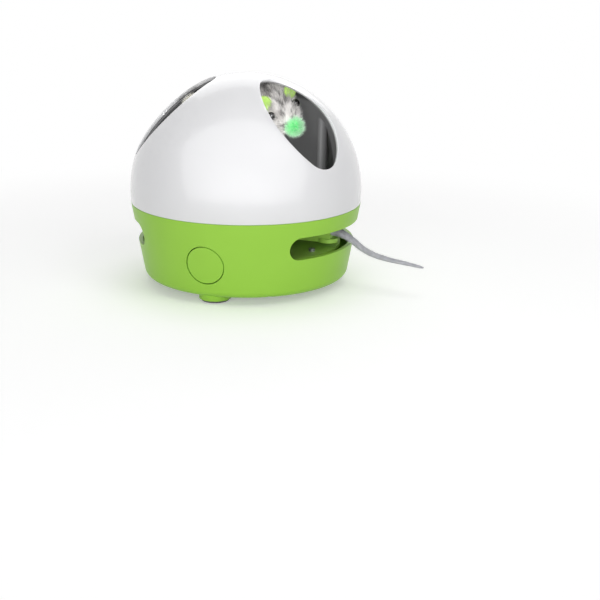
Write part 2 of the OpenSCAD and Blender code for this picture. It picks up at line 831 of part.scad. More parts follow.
module post_clip() {
    mouth = 2 * (post_r - clip_groove) * 0.85;
    color("silver")
    translate([0, 0, clip_z])
        difference() {
            cylinder(r = clip_r, h = clip_t);
            translate([0, 0, -eps]) cylinder(r = post_r - clip_groove, h = clip_t + 2 * eps);
            translate([0, -mouth / 2, -eps]) cube([clip_r + 1, mouth, clip_t + 2 * eps]);
        }
}

module gear_motor(top_z) {
    translate([-motor_d / 2, -motor_w / 2, top_z - motor_gear_l]) cube([motor_d, motor_w, motor_gear_l]);
    intersection() {
        translate([0, 0, top_z - motor_gear_l - motor_can_l]) cylinder(r = motor_w / 2, h = motor_can_l);
        translate([-motor_d / 2, -motor_w / 2, 0]) cube([motor_d, motor_w, top_z]);
    }
}

module tail_motor() {
    color("silver") translate([-tail_motor_reach, 0, 0]) gear_motor(floor_z);
}

module carousel_motor() {
    color("silver")
    rotate([0, 0, carousel_motor_az]) translate([carousel_motor_reach, 0, 0]) gear_motor(deck_z);
}

module pinion(shaft_z, face_z) {
    translate([0, 0, shaft_z]) cylinder(r = motor_shaft_r, h = face_z + pinion_face - shaft_z);
    translate([0, 0, face_z])
        linear_extrude(pinion_face)
            gear_outline(pinion_teeth, 0, pinion_teeth);
}

module tail_pinion() {
    color("ivory")
    translate([-tail_motor_reach, 0, 0])
        rotate([0, 0, 180 / pinion_teeth])
            pinion(floor_z, lever_z - 0.3);
}

module tail_lever() {
    color("olivedrab")
    difference() {
        union() {
            translate([0, 0, lever_z]) cylinder(r = lever_hub_r, h = lever_hub_top - lever_z);
            translate([0, -lever_w / 2, lever_z]) cube([lever_reach, lever_w, lever_t]);
            translate([lever_reach, 0, lever_z]) cylinder(r = lever_pad_r, h = lever_t);
            translate([0, 0, lever_z])
                rotate([0, 0, 180])
                    linear_extrude(lever_t)
                        gear_outline(sector_teeth, -sector_count, 2 * sector_count + 1);
        }
        translate([0, 0, lever_z - eps]) cylinder(r = post_r + run_gap, h = deck_z);
    }
}

module tail_socket() {
    block_half_w = tail_root_half_w + socket_wall;
    block_top = tail_route[0][1] + tail_root_half_t + socket_wall;
    color("olivedrab")
    difference() {
        translate([tail_route[0][0] - socket_wall, -block_half_w, lever_z + lever_t])
            cube([socket_depth + socket_wall, 2 * block_half_w, block_top - lever_z - lever_t]);
        tail_solid(socket_gap);
    }
}

module tail_solid(gap) {
    route = [for (p = tail_route) [p[0], 0, p[1]]];
    share = [for (i = [0:tail_last]) i / tail_last];
    soft_form(
        route,
        [for (t = share) mix(tail_root_half_w, tail_tip_half_w, t) + gap],
        [for (t = share) mix(tail_root_half_t, tail_tip_half_t, t) + gap],
        12
    );
}

module felt_tail() {
    color("slategray") tail_solid(0);
}

module deck_plate() {
    color("dimgray")
    difference() {
        union() {
            translate([0, 0, deck_z])
                cylinder(r = wall_r(deck_z) - base_wall * wall_lean - deck_gap, h = deck_t);
            translate([0, 0, deck_z - post_boss_h]) cylinder(r = post_boss_r, h = post_boss_h + eps);
            translate([0, 0, deck_top - eps]) cylinder(r = post_boss_r, h = end_play + eps);
        }
        translate([0, 0, deck_z - cut]) cylinder(r = post_r, h = 3 * cut);
        for (az = case_azimuths)
            translate(polar(case_screw_circle_r, az, deck_z - cut))
                cylinder(r = case_shank_r + 0.2, h = 3 * cut);
        translate(polar(carousel_motor_reach, carousel_motor_az, deck_z - cut))
            cylinder(r = motor_shaft_r + shaft_gap, h = 3 * cut);
    }
}

module carousel_pinion() {
    color("ivory")
    translate(polar(carousel_motor_reach, carousel_motor_az, 0))
        rotate([0, 0, carousel_motor_az + 180 + 180 / pinion_teeth + carousel_motor_turn])
            pinion(deck_z, carousel_z + 0.2);
}

module carousel_gear() {
    color("ivory")
    difference() {
        union() {
            translate([0, 0, carousel_z])
                linear_extrude(carousel_gear_t)
                    gear_outline(carousel_teeth, 0, carousel_teeth);
            translate([0, 0, carousel_z]) cylinder(r = hub_r, h = hub_l);
        }
        translate([0, 0, carousel_z - eps]) cylinder(r = bush_r, h = hub_l + 2 * eps);
        for (az = table_screw_azimuths)
            translate(polar(table_screw_circle_r, az, carousel_z + 0.5))
                cylinder(r = small_shank_r, h = hub_l);
    }
}

module hub_bush() {
    color("peru")
    translate([0, 0, carousel_z])
        difference() {
            cylinder(r = bush_r, h = hub_l);
            translate([0, 0, -eps]) cylinder(r = post_r + run_gap, h = hub_l + 2 * eps);
        }
}

module turntable() {
    color("dimgray")
    difference() {
        union() {
            translate([0, 0, carousel_gear_top]) cylinder(r = table_r, h = table_t);
            translate([0, 0, table_top - eps]) cylinder(r = table_r, h = table_rim_h + eps);
        }
        translate([0, 0, table_top]) cylinder(r = table_r - table_rim_w, h = table_rim_h + cut);
        translate([0, 0, carousel_gear_top - eps]) cylinder(r = hub_r, h = cut * 2);
        for (az = table_screw_azimuths)
            translate(polar(table_screw_circle_r, az, carousel_z))
                cylinder(r = small_shank_r + 0.1, h = hub_l);
    }
}

module turntable_screws() {
    shank_l = table_t + carousel_gear_t - 0.7;
    color("silver")
    for (az = table_screw_azimuths)
        translate(polar(table_screw_circle_r, az, table_top))
            mirror([0, 0, 1])
                screw(small_shank_r, shank_l, small_head_r);
}

// Arm from the turntable into the mouse's belly
module arm_solid(gap) {
    translate(polar(arm_place[0], arm_place[1], table_top))
        cylinder(r = arm_r + gap, h = arm_top_z - table_top);
}

module mouse_arm() {
    color("dimgray") {
        arm_solid(0);
        translate(polar(arm_place[0], arm_place[1], table_top))
            cylinder(r1 = arm_r + arm_foot_w, r2 = arm_r, h = arm_foot_h);
    }
}

module body_solid() {
    share = [for (i = [0:body_rings]) i / body_rings];
    route = [
        for (t = share) polar(
            mix(body_start[0], body_end[0], t),
            mix(body_start[1], body_end[1], t),
            mix(body_start[2], body_end[2], t)
        )
    ];
    girth = [for (t = share) body_half_w * max(0.08, pow(sin(mix(4, 150, pow(t, 0.8))), 0.6))];
    intersection() {
        soft_form(route, girth, girth, 20);
        plush_limit();
    }
}

module plush_limit() {
    translate([0, 0, dome_centre_z]) sphere(plush_limit_r);
}

module head_at() {
    translate(head_place) rotate([head_roll, head_pitch, head_turn]) children();
}

module head_solid() {
    share = [for (i = [0:head_rings]) i / head_rings];
    route = [for (t = share) [mix(-head_back_l, head_front_l, (1 - cos(180 * t)) / 2), 0, 0]];
    girth = [for (t = share) head_half_w * max(0.1, pow(sin(180 * pow(t, 0.68)), 0.9))];
    intersection() {
        head_at() soft_form(route, girth, girth * 0.94, 20);
        plush_limit();
    }
}

// The nose sits on a flat seat at the front of the head, and each eye in a round pocket
module nose_space() {
    translate([head_front_l - nose_seat, -dome_r, -dome_r]) cube(2 * dome_r);
}

module eye_places() {
    for (side = [1, -1])
        translate([eye_place[0], side * eye_place[1], eye_place[2]])
            rotate([-side * eye_lean, 0, 0])
                children();
}

module rump_solid() {
    translate(polar(rump_place[0], rump_place[1], rump_place[2])) sphere(rump_ball_r);
}

module mouse_body() {
    color("silver")
    difference() {
        body_solid();
        head_solid();
        arm_solid(0);
        rump_solid();
    }
}

module mouse_head() {
    color("lightgray")
    difference() {
        head_solid();
        head_at() nose_space();
        head_at() eye_places() translate([0, 0, -eye_r]) cylinder(r = eye_r, h = dome_r);
    }
}

module mouse_ears() {
    color("yellowgreen")
    difference() {
        intersection() {
            head_at()
                for (side = [1, -1])
                    translate([ear_place[0], side * ear_place[1], ear_place[2]])
                        rotate([-side * 38, 62, 0])
                            cylinder(r = ear_r, h = ear_t, center = true);
            plush_limit();
        }
        head_solid();
    }
}

module mouse_eyes() {
    color("black") head_at() eye_places() sphere(eye_r);
}

module nose_ball() {
    color("lightgreen")
    head_at()
        intersection() {
            translate([head_front_l, 0, 0]) sphere(nose_r);
            nose_space();
        }
}

module rump_ball() {
    color("cornsilk") rump_solid();
}

module dome_liner() {
    color("dimgray")
    difference() {
        union() {
            dome_skin(liner_out_r, liner_in_r);
            for (az = case_azimuths)
                intersection() {
                    translate(polar(case_screw_circle_r, az, deck_top))
                        cylinder(r = case_post_r - 1, h = dome_r);
                    translate([0, 0, dome_centre_z]) sphere((liner_out_r + liner_in_r) / 2);
                }
        }
        window_cuts(liner_window_step);
        for (az = case_azimuths)
            translate(polar(case_screw_circle_r, az, deck_top - eps))
                cylinder(r = case_shank_r, h = case_shank_l);
    }
}

module dome_shell() {
    color("white")
    difference() {
        dome_skin(dome_r, dome_in_r);
        window_cuts(0);
    }
}

// The origin is the middle of the front pad's underside, so the dome's axis stands behind it
module in_frame() {
    translate([0, foot_circle_r, 0]) children();
}

in_frame() base_shell();
in_frame() floor_plate();
in_frame() floor_screws();
in_frame() foot_pads();
in_frame() case_screws();
in_frame() battery_box();
in_frame() battery_cells();
in_frame() battery_contacts();
in_frame() battery_door();
in_frame() power_switch();
in_frame() power_knob();
in_frame() circuit_board();
in_frame() tact_switch();
in_frame() tact_plunger();
in_frame() front_button();
in_frame() centre_post();
in_frame() post_clip();
in_frame() tail_motor();
in_frame() tail_pinion();
in_frame() tail_lever();
in_frame() tail_socket();
in_frame() felt_tail();
in_frame() deck_plate();
in_frame() carousel_motor();
in_frame() carousel_pinion();
in_frame() carousel_gear();
in_frame() hub_bush();
in_frame() turntable();
in_frame() turntable_screws();
in_frame() mouse_arm();
in_frame() mouse_body();
in_frame() mouse_head();
in_frame() mouse_ears();
in_frame() mouse_eyes();
in_frame() nose_ball();
in_frame() rump_ball();
in_frame() dome_liner();
in_frame() dome_shell();
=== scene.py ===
import json
import math
import bmesh
import bpy
import numpy as np
from mathutils import Matrix, Vector, noise
from mathutils.geometry import delaunay_2d_cdt


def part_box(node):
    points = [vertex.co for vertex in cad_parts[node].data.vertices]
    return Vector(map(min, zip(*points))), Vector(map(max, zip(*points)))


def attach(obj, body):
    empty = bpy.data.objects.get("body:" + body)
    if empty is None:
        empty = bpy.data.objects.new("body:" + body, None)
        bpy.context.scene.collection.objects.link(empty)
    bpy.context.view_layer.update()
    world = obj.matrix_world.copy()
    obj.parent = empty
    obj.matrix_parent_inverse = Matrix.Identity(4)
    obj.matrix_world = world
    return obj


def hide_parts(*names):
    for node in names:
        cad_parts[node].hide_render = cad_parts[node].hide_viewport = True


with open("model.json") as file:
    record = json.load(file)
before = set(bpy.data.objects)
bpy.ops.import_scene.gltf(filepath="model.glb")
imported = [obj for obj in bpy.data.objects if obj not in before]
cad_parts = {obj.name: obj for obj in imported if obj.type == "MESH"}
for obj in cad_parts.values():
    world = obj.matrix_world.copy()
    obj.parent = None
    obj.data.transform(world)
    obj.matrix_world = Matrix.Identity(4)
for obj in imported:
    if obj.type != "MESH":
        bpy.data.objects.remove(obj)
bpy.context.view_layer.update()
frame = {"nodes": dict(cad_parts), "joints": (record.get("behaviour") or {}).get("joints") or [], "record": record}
mm = 0.001
scene = bpy.context.scene
# the post that the mouse runs round stands in the middle of the toy
spin = next(joint for joint in frame["joints"] if joint["name"] == "carousel_spin")
toyAxis = Vector((spin["pos_m"][0], spin["pos_m"][1], 0))
slotOf = {part["node"]: part["material_slot"] for part in frame["record"]["subparts"]}


def hexColour(code):
    channels = [int(code[i:i + 2], 16) / 255 for i in (0, 2, 4)]
    return [c / 12.92 if c <= 0.04045 else ((c + 0.055) / 1.055) ** 2.4 for c in channels] + [1.0]


def blend(low, high, weight):
    return [a + (b - a) * weight for a, b in zip(low, high)]


def smoothStep(limits, value):
    low, high = limits
    share = min(1.0, max(0.0, (value - low) / (high - low)))
    return share * share * (3 - 2 * share)


def addNode(tree, kind, settings=None, inputs=None):
    node = tree.nodes.new(kind)
    for name, value in (settings or {}).items():
        setattr(node, name, value)
    for name, value in (inputs or {}).items():
        socket = next(s for s in node.inputs if s.identifier == name)
        if isinstance(value, bpy.types.NodeSocket):
            tree.links.new(value, socket)
        else:
            socket.default_value = value
    return node


def outputOf(node, identifier):
    return next(s for s in node.outputs if s.identifier == identifier)


def startMaterial(name, **values):
    material = bpy.data.materials.new(name)
    material.use_nodes = True
    shader = material.node_tree.nodes["Principled BSDF"]
    for socket, value in values.items():
        shader.inputs[socket.replace("_", " ")].default_value = value
    return material, material.node_tree, shader


# Moulded ABS and acetal: even colour, a faint sink pattern and a fine grain that breaks up the gloss
# Patterns are sized in mm, and the grain is coarser than a real one so that it shows
mouldSkin = dict(sink=45, sinkDetail=3.0, grainDetail=2.0, glossSwing=0.03, bump=0.05, depth=0.05)
mouldedAbs = {
    "green_plastic": dict(name="greenAbs", colour="9BCE4B", shade="94C745",
                          rough=0.36, grain=0.5, gloss=0.2, coat=0.0),
    # the inside of the base is a lighter copy of the base's green: painted light that lifts its shaded slots
    "dark_green_plastic": dict(name="innerGreenPaintedLight", colour="A2D257", shade="99C94F",
                               rough=0.42, grain=0.6, gloss=0.5, coat=0.0),
    "white_plastic": dict(name="whiteAbs", colour="DFDFE1", shade="DBDBDD",
                          rough=0.36, grain=0.5, gloss=0.5, coat=1.0),
    "grey_plastic": dict(name="darkGreyAbs", colour="7E7E7F", shade="777778",
                         rough=0.48, grain=0.7, gloss=0.5, coat=0.0),
    "black_plastic": dict(name="blackAbs", colour="1C1C1D", shade="161617",
                          rough=0.4, grain=0.4, gloss=0.5, coat=0.0),
    "ivory_plastic": dict(name="ivoryAcetal", colour="E4DFCF", shade="DDD7C5",
                          rough=0.38, grain=0.5, gloss=0.5, coat=0.0),
}


def makeMouldedAbs(look):
    material, tree, shader = startMaterial(look["name"], IOR=1.53, Specular_IOR_Level=look["gloss"],
                                           Coat_Weight=look["coat"], Coat_Roughness=0.15)
    coords = addNode(tree, "ShaderNodeTexCoord").outputs["Object"]
    sink = addNode(tree, "ShaderNodeTexNoise", {}, {
        "Vector": coords, "Scale": 1 / (mouldSkin["sink"] * mm), "Detail": mouldSkin["sinkDetail"]})
    tint = addNode(tree, "ShaderNodeMix", {"data_type": "RGBA"}, {
        "Factor_Float": sink.outputs["Fac"], "A_Color": hexColour(look["colour"]),
        "B_Color": hexColour(look["shade"])})
    tree.links.new(outputOf(tint, "Result_Color"), shader.inputs["Base Color"])
    grain = addNode(tree, "ShaderNodeTexNoise", {}, {
        "Vector": coords, "Scale": 1 / (look["grain"] * mm),
        "Detail": mouldSkin["grainDetail"]}).outputs["Fac"]
    swing = mouldSkin["glossSwing"]
    gloss = addNode(tree, "ShaderNodeMapRange", {}, {
        "Value": grain, "To Min": look["rough"] - swing, "To Max": look["rough"] + swing})
    tree.links.new(gloss.outputs["Result"], shader.inputs["Roughness"])
    bump = addNode(tree, "ShaderNodeBump", {}, {
        "Height": grain, "Strength": mouldSkin["bump"], "Distance": mouldSkin["depth"] * mm})
    tree.links.new(bump.outputs["Normal"], shader.inputs["Normal"])
    return material


# Moulded rubber: dead matt, with dust in its grain
rubberPad = dict(colour="5B5759", colourUpTo=0.45, dust="726E6F", dustFrom=0.75,
                 grain=0.9, detail=6.0, bump=0.35, depth=0.15)


def makeRubber(look):
    material, tree, shader = startMaterial("padRubber", IOR=1.52, Roughness=0.78)
    coords = addNode(tree, "ShaderNodeTexCoord").outputs["Object"]
    grain = addNode(tree, "ShaderNodeTexNoise", {}, {
        "Vector": coords, "Scale": 1 / (look["grain"] * mm), "Detail": look["detail"]}).outputs["Fac"]
    ramp = addNode(tree, "ShaderNodeValToRGB", {}, {"Fac": grain})
    clean, dusty = ramp.color_ramp.elements
    clean.position = look["colourUpTo"]
    clean.color = hexColour(look["colour"])
    dusty.position = look["dustFrom"]
    dusty.color = hexColour(look["dust"])
    tree.links.new(ramp.outputs["Color"], shader.inputs["Base Color"])
    bump = addNode(tree, "ShaderNodeBump", {}, {
        "Height": grain, "Strength": look["bump"], "Distance": look["depth"] * mm})
    tree.links.new(bump.outputs["Normal"], shader.inputs["Normal"])
    return material


# Zinc-plated steel, drawn motor cans and turned brass: bright metal with fine tool marks that run level
toolMarks = dict(stretch=(0.15, 0.15, 1.0), detail=4.0, smoother=0.08, rougher=0.1, bump=0.12, depth=0.05)
toolMarkedMetals = {
    "steel": dict(name="zincSteel", colour="9C9FA2", rough=0.4, marks=0.35),
    "motor_metal": dict(name="drawnSteelCan", colour="AEB1B4", rough=0.36, marks=0.5),
    "brass": dict(name="turnedBrass", colour="C9A24F", rough=0.28, marks=0.3),
}


def makeToolMarkedMetal(look):
    material, tree, shader = startMaterial(look["name"], Metallic=1.0, Base_Color=hexColour(look["colour"]))
    coords = addNode(tree, "ShaderNodeTexCoord").outputs["Object"]
    along = addNode(tree, "ShaderNodeMapping", {}, {"Vector": coords, "Scale": toolMarks["stretch"]})
    marks = addNode(tree, "ShaderNodeTexNoise", {}, {
        "Vector": along.outputs["Vector"], "Scale": 1 / (look["marks"] * mm),
        "Detail": toolMarks["detail"]}).outputs["Fac"]
    gloss = addNode(tree, "ShaderNodeMapRange", {}, {
        "Value": marks, "To Min": look["rough"] - toolMarks["smoother"],
        "To Max": look["rough"] + toolMarks["rougher"]})
    tree.links.new(gloss.outputs["Result"], shader.inputs["Roughness"])
    bump = addNode(tree, "ShaderNodeBump", {}, {
        "Height": marks, "Strength": toolMarks["bump"], "Distance": toolMarks["depth"] * mm})
    tree.links.new(bump.outputs["Normal"], shader.inputs["Normal"])
    return material


# Shrink-wrapped cell jacket: a copper band at one end of a dark sleeve
cellJacket = dict(band="B5793A", sleeve="2E2F33", bandEdge=11.0, edgeBlur=0.2)


def makeCellJacket(look):
    material, tree, shader = startMaterial("cellSleeve", IOR=1.5, Roughness=0.3)
    coords = addNode(tree, "ShaderNodeTexCoord").outputs["Object"]
    spread = addNode(tree, "ShaderNodeSeparateXYZ", {}, {"Vector": coords})
    edge = addNode(tree, "ShaderNodeMapRange", {"interpolation_type": "SMOOTHSTEP"}, {
        "Value": spread.outputs["X"],
        "From Min": (look["bandEdge"] - look["edgeBlur"]) * mm,
        "From Max": (look["bandEdge"] + look["edgeBlur"]) * mm})
    tint = addNode(tree, "ShaderNodeMix", {"data_type": "RGBA"}, {
        "Factor_Float": edge.outputs["Result"], "A_Color": hexColour(look["sleeve"]),
        "B_Color": hexColour(look["band"])})
    tree.links.new(outputOf(tint, "Result_Color"), shader.inputs["Base Color"])
    return material


# Solder resist over etched copper: tracks stand out as a lighter green grid
boardResist = dict(resist="1E6B3C", track="2F8A50", pitch=2.54, trackShare=0.06)


def makeBoardResist(look):
    material, tree, shader = startMaterial("solderResist", IOR=1.55, Roughness=0.35)
    resist = hexColour(look["resist"])
    coords = addNode(tree, "ShaderNodeTexCoord").outputs["Object"]
    grid = addNode(tree, "ShaderNodeTexBrick", {"offset": 0.5}, {
        "Vector": coords, "Scale": 1 / (look["pitch"] * mm), "Color1": resist, "Color2": resist,
        "Mortar": hexColour(look["track"]), "Mortar Size": look["trackShare"]})
    tree.links.new(grid.outputs["Color"], shader.inputs["Base Color"])
    return material


# Polished acrylic bead: deep black with a sharp glint
eyeBead = dict(deep="060606", pale="141212", cloud=3, detail=2.0)


def makeEyeBead(look):
    material, tree, shader = startMaterial("eyeAcrylic", IOR=1.49, Roughness=0.05, Coat_Weight=0.5)
    coords = addNode(tree, "ShaderNodeTexCoord").outputs["Object"]
    cloud = addNode(tree, "ShaderNodeTexNoise", {}, {
        "Vector": coords, "Scale": 1 / (look["cloud"] * mm), "Detail": look["detail"]})
    ramp = addNode(tree, "ShaderNodeValToRGB", {}, {"Fac": cloud.outputs["Fac"]})
    for element, colour in zip(ramp.color_ramp.elements, ("deep", "pale")):
        element.color = hexColour(look[colour])
    tree.links.new(ramp.outputs["Color"], shader.inputs["Base Color"])
    return material


# Pile fibres: each strand carries its own tint and a random tone, and pales towards its tip; the core between the
# roots carries painted shade
pileFibres = {
    "grey_fur": dict(name="acrylicPlush", sheen=0.25, rough=0.8),
    "green_felt": dict(name="limeFelt", sheen=0.35, rough=0.9),
    "mint_fluff": dict(name="mintYarn", sheen=0.3, rough=0.85),
    "cream_fluff": dict(name="creamYarn", sheen=0.3, rough=0.85),
    "grey_felt": dict(name="woolFelt", sheen=0.4, rough=0.92),
}


def makePile(look):
    material, tree, shader = startMaterial(look["name"], IOR=1.45, Roughness=look["rough"],
                                           Sheen_Weight=look["sheen"], Sheen_Roughness=0.45)
    carried = {name: addNode(tree, "ShaderNodeAttribute", {"attribute_name": name}).outputs
               for name in ("pileTint", "tipTint", "along", "shade")}
    colour = addNode(tree, "ShaderNodeMix", {"data_type": "RGBA"}, {
        "Factor_Float": carried["along"]["Fac"], "A_Color": carried["pileTint"]["Color"],
        "B_Color": carried["tipTint"]["Color"]})
    # the shade attribute scales the colour: a random tone on each strand, and painted root shade on the core
    toned = addNode(tree, "ShaderNodeVectorMath", {"operation": "SCALE"}, {
        "Vector": outputOf(colour, "Result_Color"), "Scale": carried["shade"]["Fac"]})
    tree.links.new(toned.outputs["Vector"], shader.inputs["Base Color"])
    return material


finishes = {slot: makeMouldedAbs(look) for slot, look in mouldedAbs.items()}
finishes.update({slot: makeToolMarkedMetal(look) for slot, look in toolMarkedMetals.items()})
finishes.update({
    "rubber": makeRubber(rubberPad),
    "cell_jacket": makeCellJacket(cellJacket),
    "board": makeBoardResist(boardResist),
    "eye_plastic": makeEyeBead(eyeBead),
})
finishes.update({slot: makePile(look) for slot, look in pileFibres.items()})
for node, slot in slotOf.items():
    for holder in frame["nodes"][node].material_slots:
        holder.material = finishes[slot]
print("materials", len(finishes))


def meshObject(name, vertices, faces, material):
    mesh = bpy.data.meshes.new(name)
    mesh.from_pydata([tuple(v) for v in vertices], [], faces)
    mesh.validate()
    piece = bpy.data.objects.new(name, mesh)
    scene.collection.objects.link(piece)
    mesh.materials.append(material)
    mesh.polygons.foreach_set("use_smooth", [True] * len(mesh.polygons))
    mesh.update()
    return piece


def cleanMesh(piece, weld=None):
    tidy = bmesh.new()
    tidy.from_mesh(piece.data)
    if weld:
        bmesh.ops.remove_doubles(tidy, verts=tidy.verts, dist=weld)
    bmesh.ops.recalc_face_normals(tidy, faces=tidy.faces)
    tidy.to_mesh(piece.data)
    tidy.free()


def applied(piece, name):
    depsgraph = bpy.context.evaluated_depsgraph_get()
    mesh = bpy.data.meshes.new_from_object(piece.evaluated_get(depsgraph))
    mesh.name = name
    result = bpy.data.objects.new(name, mesh)
    scene.collection.objects.link(result)
    bpy.data.objects.remove(piece)
    return result


def tubeFaces(rings):
    faces = []
    for one, other in zip(rings, rings[1:]):
        count = len(one)
        faces += [(one[k], other[k], other[(k + 1) % count], one[(k + 1) % count]) for k in range(count)]
    return faces


def place(piece, body, slot, *nodes):
    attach(piece, body)
    if nodes:
        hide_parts(*nodes)
    print("piece", piece.name, len(piece.data.polygons), "faces")


# Dome with two oval windows, whose rims and bottom edge are rounded over
dome = dict(radius=85 * mm, centreZ=68 * mm, wall=2.2 * mm, seamZ=60.5 * mm, lip=0.7 * mm, lipSteps=4,
            windowLong=40.5 * mm, windowShort=26.5 * mm, endShare=0.96, windowElevation=46.5, windowTurn=65.0,
            outlineCount=128, cell=2.3 * mm, rimRoom=2.6 * mm, weld=1e-7)
domeCentre = toyAxis + Vector((0, 0, dome["centreZ"]))
windowSides = (1, -1)


def ovalOutline(halfLong, halfShort, endRadius, count):
    # a quarter of the oval is an end arc and a side arc that meet in one tangent
    reach = halfLong - endRadius
    sideRadius = (reach ** 2 + halfShort ** 2 - endRadius ** 2) / (2 * (halfShort - endRadius))
    turn = math.atan2(sideRadius - halfShort, reach)
    ends = int(count / 4 * endRadius * turn / (endRadius * turn + sideRadius * (math.pi / 2 - turn)))
    sides = count // 4 - ends
    quarter = []
    for i in range(ends):
        angle = turn * i / ends
        quarter.append((reach + endRadius * math.cos(angle), endRadius * math.sin(angle)))
    for i in range(sides):
        angle = turn + (math.pi / 2 - turn) * i / sides
        quarter.append((sideRadius * math.cos(angle), sideRadius * math.sin(angle) - sideRadius + halfShort))
    upper = quarter + [(0, halfShort)] + [(-x, y) for x, y in reversed(quarter[1:])]
    return upper + [(-x, -y) for x, y in upper]


def aimedFrom(azimuth, rise):
    turn, lift = math.radians(azimuth), math.radians(rise)
    return Vector((math.cos(lift) * math.cos(turn), math.cos(lift) * math.sin(turn), math.sin(lift)))


def windowRing(look, side, step, radius):
    # the outline is laid on the sphere about the window's own axis, its long way running down
    azimuth = 270 + side * look["windowTurn"]
    out = aimedFrom(azimuth, look["windowElevation"])
    down = aimedFrom(azimuth, look["windowElevation"] - 90)
    across = out.cross(down)
    endRadius = look["endShare"] * look["windowShort"] ** 2 / look["windowLong"]
    outline = ovalOutline(look["windowLong"] + step, look["windowShort"] + step, endRadius + step,
                          look["outlineCount"])
    return [out * math.sqrt(radius ** 2 - x * x - y * y) + down * x + across * y for x, y in outline]


def seamRing(look, seamAngle, step, ringRadius):
    angle = seamAngle - step / look["radius"]
    count = int(2 * math.pi * look["radius"] / look["cell"])
    turns = [2 * math.pi * i / count for i in range(count)]
    reach = ringRadius * math.sin(angle)
    return [Vector((reach * math.cos(turn), reach * math.sin(turn), look["radius"] * math.cos(angle)))
            for turn in turns]


def flatten(direction):
    # the sphere is laid out flat around its top, so that it can be meshed in the plane
    angle = direction.angle(Vector((0, 0, 1)))
    turn = math.atan2(direction.y, direction.x)
    return Vector((angle * math.cos(turn), angle * math.sin(turn)))


def insideOutline(point, outline):
    inside = False
    previous = outline[-1]
    for corner in outline:
        if (corner.y > point.y) != (previous.y > point.y):
            slant = (previous.x - corner.x) * (point.y - corner.y) / (previous.y - corner.y)
            if point.x < slant + corner.x:
                inside = not inside
        previous = corner
    return inside


def skinPoints(look, seamAngle):
    # rows of points cover the sphere, clear of the windows and the seam
    radius, cell = look["radius"], look["cell"]
    clear = look["lip"] + look["rimRoom"]
    borders = [[flatten(p) for p in windowRing(look, side, clear, radius)] for side in windowSides]
    seamLimit = seamAngle - clear / radius
    points = []
    for row in range(int(seamLimit * radius / cell)):
        angle = row * cell / radius
        count = max(1, int(2 * math.pi * math.sin(angle) * radius / cell))
        for i in range(count):
            turn = 2 * math.pi * (i + 0.5 * (row % 2)) / count
            reach = math.sin(angle)
            p = Vector((reach * math.cos(turn), reach * math.sin(turn), math.cos(angle))) * radius
            if not any(insideOutline(flatten(p), border) for border in borders):
                points.append(p)
    return points


def meshSkin(points, loops):
    # the rims come first among the points, and a triangle across a window is left out
    rimOf = {}
    edges = []
    first = 0
    for index, rings in enumerate(loops):
        count = len(rings[0])
        edges += [(first + i, first + (i + 1) % count) for i in range(count)]
        rimOf.update({first + i: index for i in range(count)})
        first += count
    solved = delaunay_2d_cdt([flatten(p) for p in points], edges, [], 0, 1e-9)
    assert len(solved[0]) == len(points)
    origin = [source[0] for source in solved[3]]
    faces = []
    for corners in solved[2]:
        a, b, c = (origin[v] for v in corners)
        rims = {rimOf.get(v, -1) for v in (a, b, c)}
        if len(rims) == 1 and rims & {0, 1}:
            continue
        outward = (points[b] - points[a]).cross(points[c] - points[a]).dot(points[a]) > 0
        faces.append((a, b, c) if outward else (a, c, b))
    return faces


def makeDome(look):
    radius, lip = look["radius"], look["lip"]
    innerRadius = radius - look["wall"]
    seamDrop = look["seamZ"] - look["centreZ"]
    seamAngle = math.acos(seamDrop / radius)
    bends = [math.pi / 2 * i / look["lipSteps"] for i in range(look["lipSteps"] + 1)]
    offsets = [(lip * (1 - math.sin(b)), radius - lip * (1 - math.cos(b))) for b in bends]
    loops = [[windowRing(look, side, step, r) for step, r in offsets] for side in windowSides]
    loops.append([seamRing(look, seamAngle, step, r) for step, r in offsets])
    points = [p for rings in loops for p in rings[0]] + skinPoints(look, seamAngle)
    faces = meshSkin(points, loops)
    inner = len(points)
    vertices = points + [p * (innerRadius / radius) for p in points]
    faces += [(a + inner, c + inner, b + inner) for a, b, c in faces]
    first = 0
    for index, rings in enumerate(loops):
        count = len(rings[0])
        walls = rings[1:]
        if index < len(windowSides):
            side = windowSides[index]
            walls.append(windowRing(look, side, 0, innerRadius))
            vertices[inner + first:inner + first + count] = windowRing(look, side, lip, innerRadius)
        else:
            flatRadius = math.sqrt(innerRadius ** 2 - seamDrop ** 2)
            foot = Vector((0, 0, seamDrop))
            walls.append([Vector((p.x, p.y, 0)).normalized() * flatRadius + foot for p in rings[0]])
        rows = [range(first, first + count)]
        for ring in walls:
            rows.append(range(len(vertices), len(vertices) + count))
            vertices += ring
        rows.append(range(inner + first, inner + first + count))
        faces += [(a, d, c, b) for a, b, c, d in tubeFaces(rows)]
        first += count
    piece = meshObject("domeShell", [domeCentre + p for p in vertices], faces, finishes["white_plastic"])
    cleanMesh(piece, look["weld"])
    return piece


place(makeDome(dome), "base", "white_plastic", "dome_shell")


# Moulded pieces keep the frame's shape, with the edges of a mould instead of knife edges
softEdges = {
    "base_shell": dict(name="baseShell", body="base", width=0.35 * mm),
    "front_button": dict(name="frontButton", body="button", width=0.6 * mm, shrink=0.975),
    "battery_door": dict(name="batteryDoor", body="door", width=0.2 * mm),
    "foot_pads": dict(name="footPads", body="base", width=0.5 * mm),
}
edgeWork = dict(weld=1e-5, flatAngle=0.3, sharpAngle=32, segments=2, levelFace=0.9999, wallFace=0.998)
baseWall = dict(footRadius=76 * mm, footZ=11.5 * mm, slope=0.17707, room=1.2 * mm)


def wallNormal(p):
    outward = Vector((p.x - toyAxis.x, p.y - toyAxis.y, 0)).normalized()
    return (outward - Vector((0, 0, baseWall["slope"]))).normalized()


def onWall(p):
    radius = baseWall["footRadius"] + baseWall["slope"] * (p.z - baseWall["footZ"])
    return abs(math.hypot(p.x - toyAxis.x, p.y - toyAxis.y) - radius) < baseWall["room"]


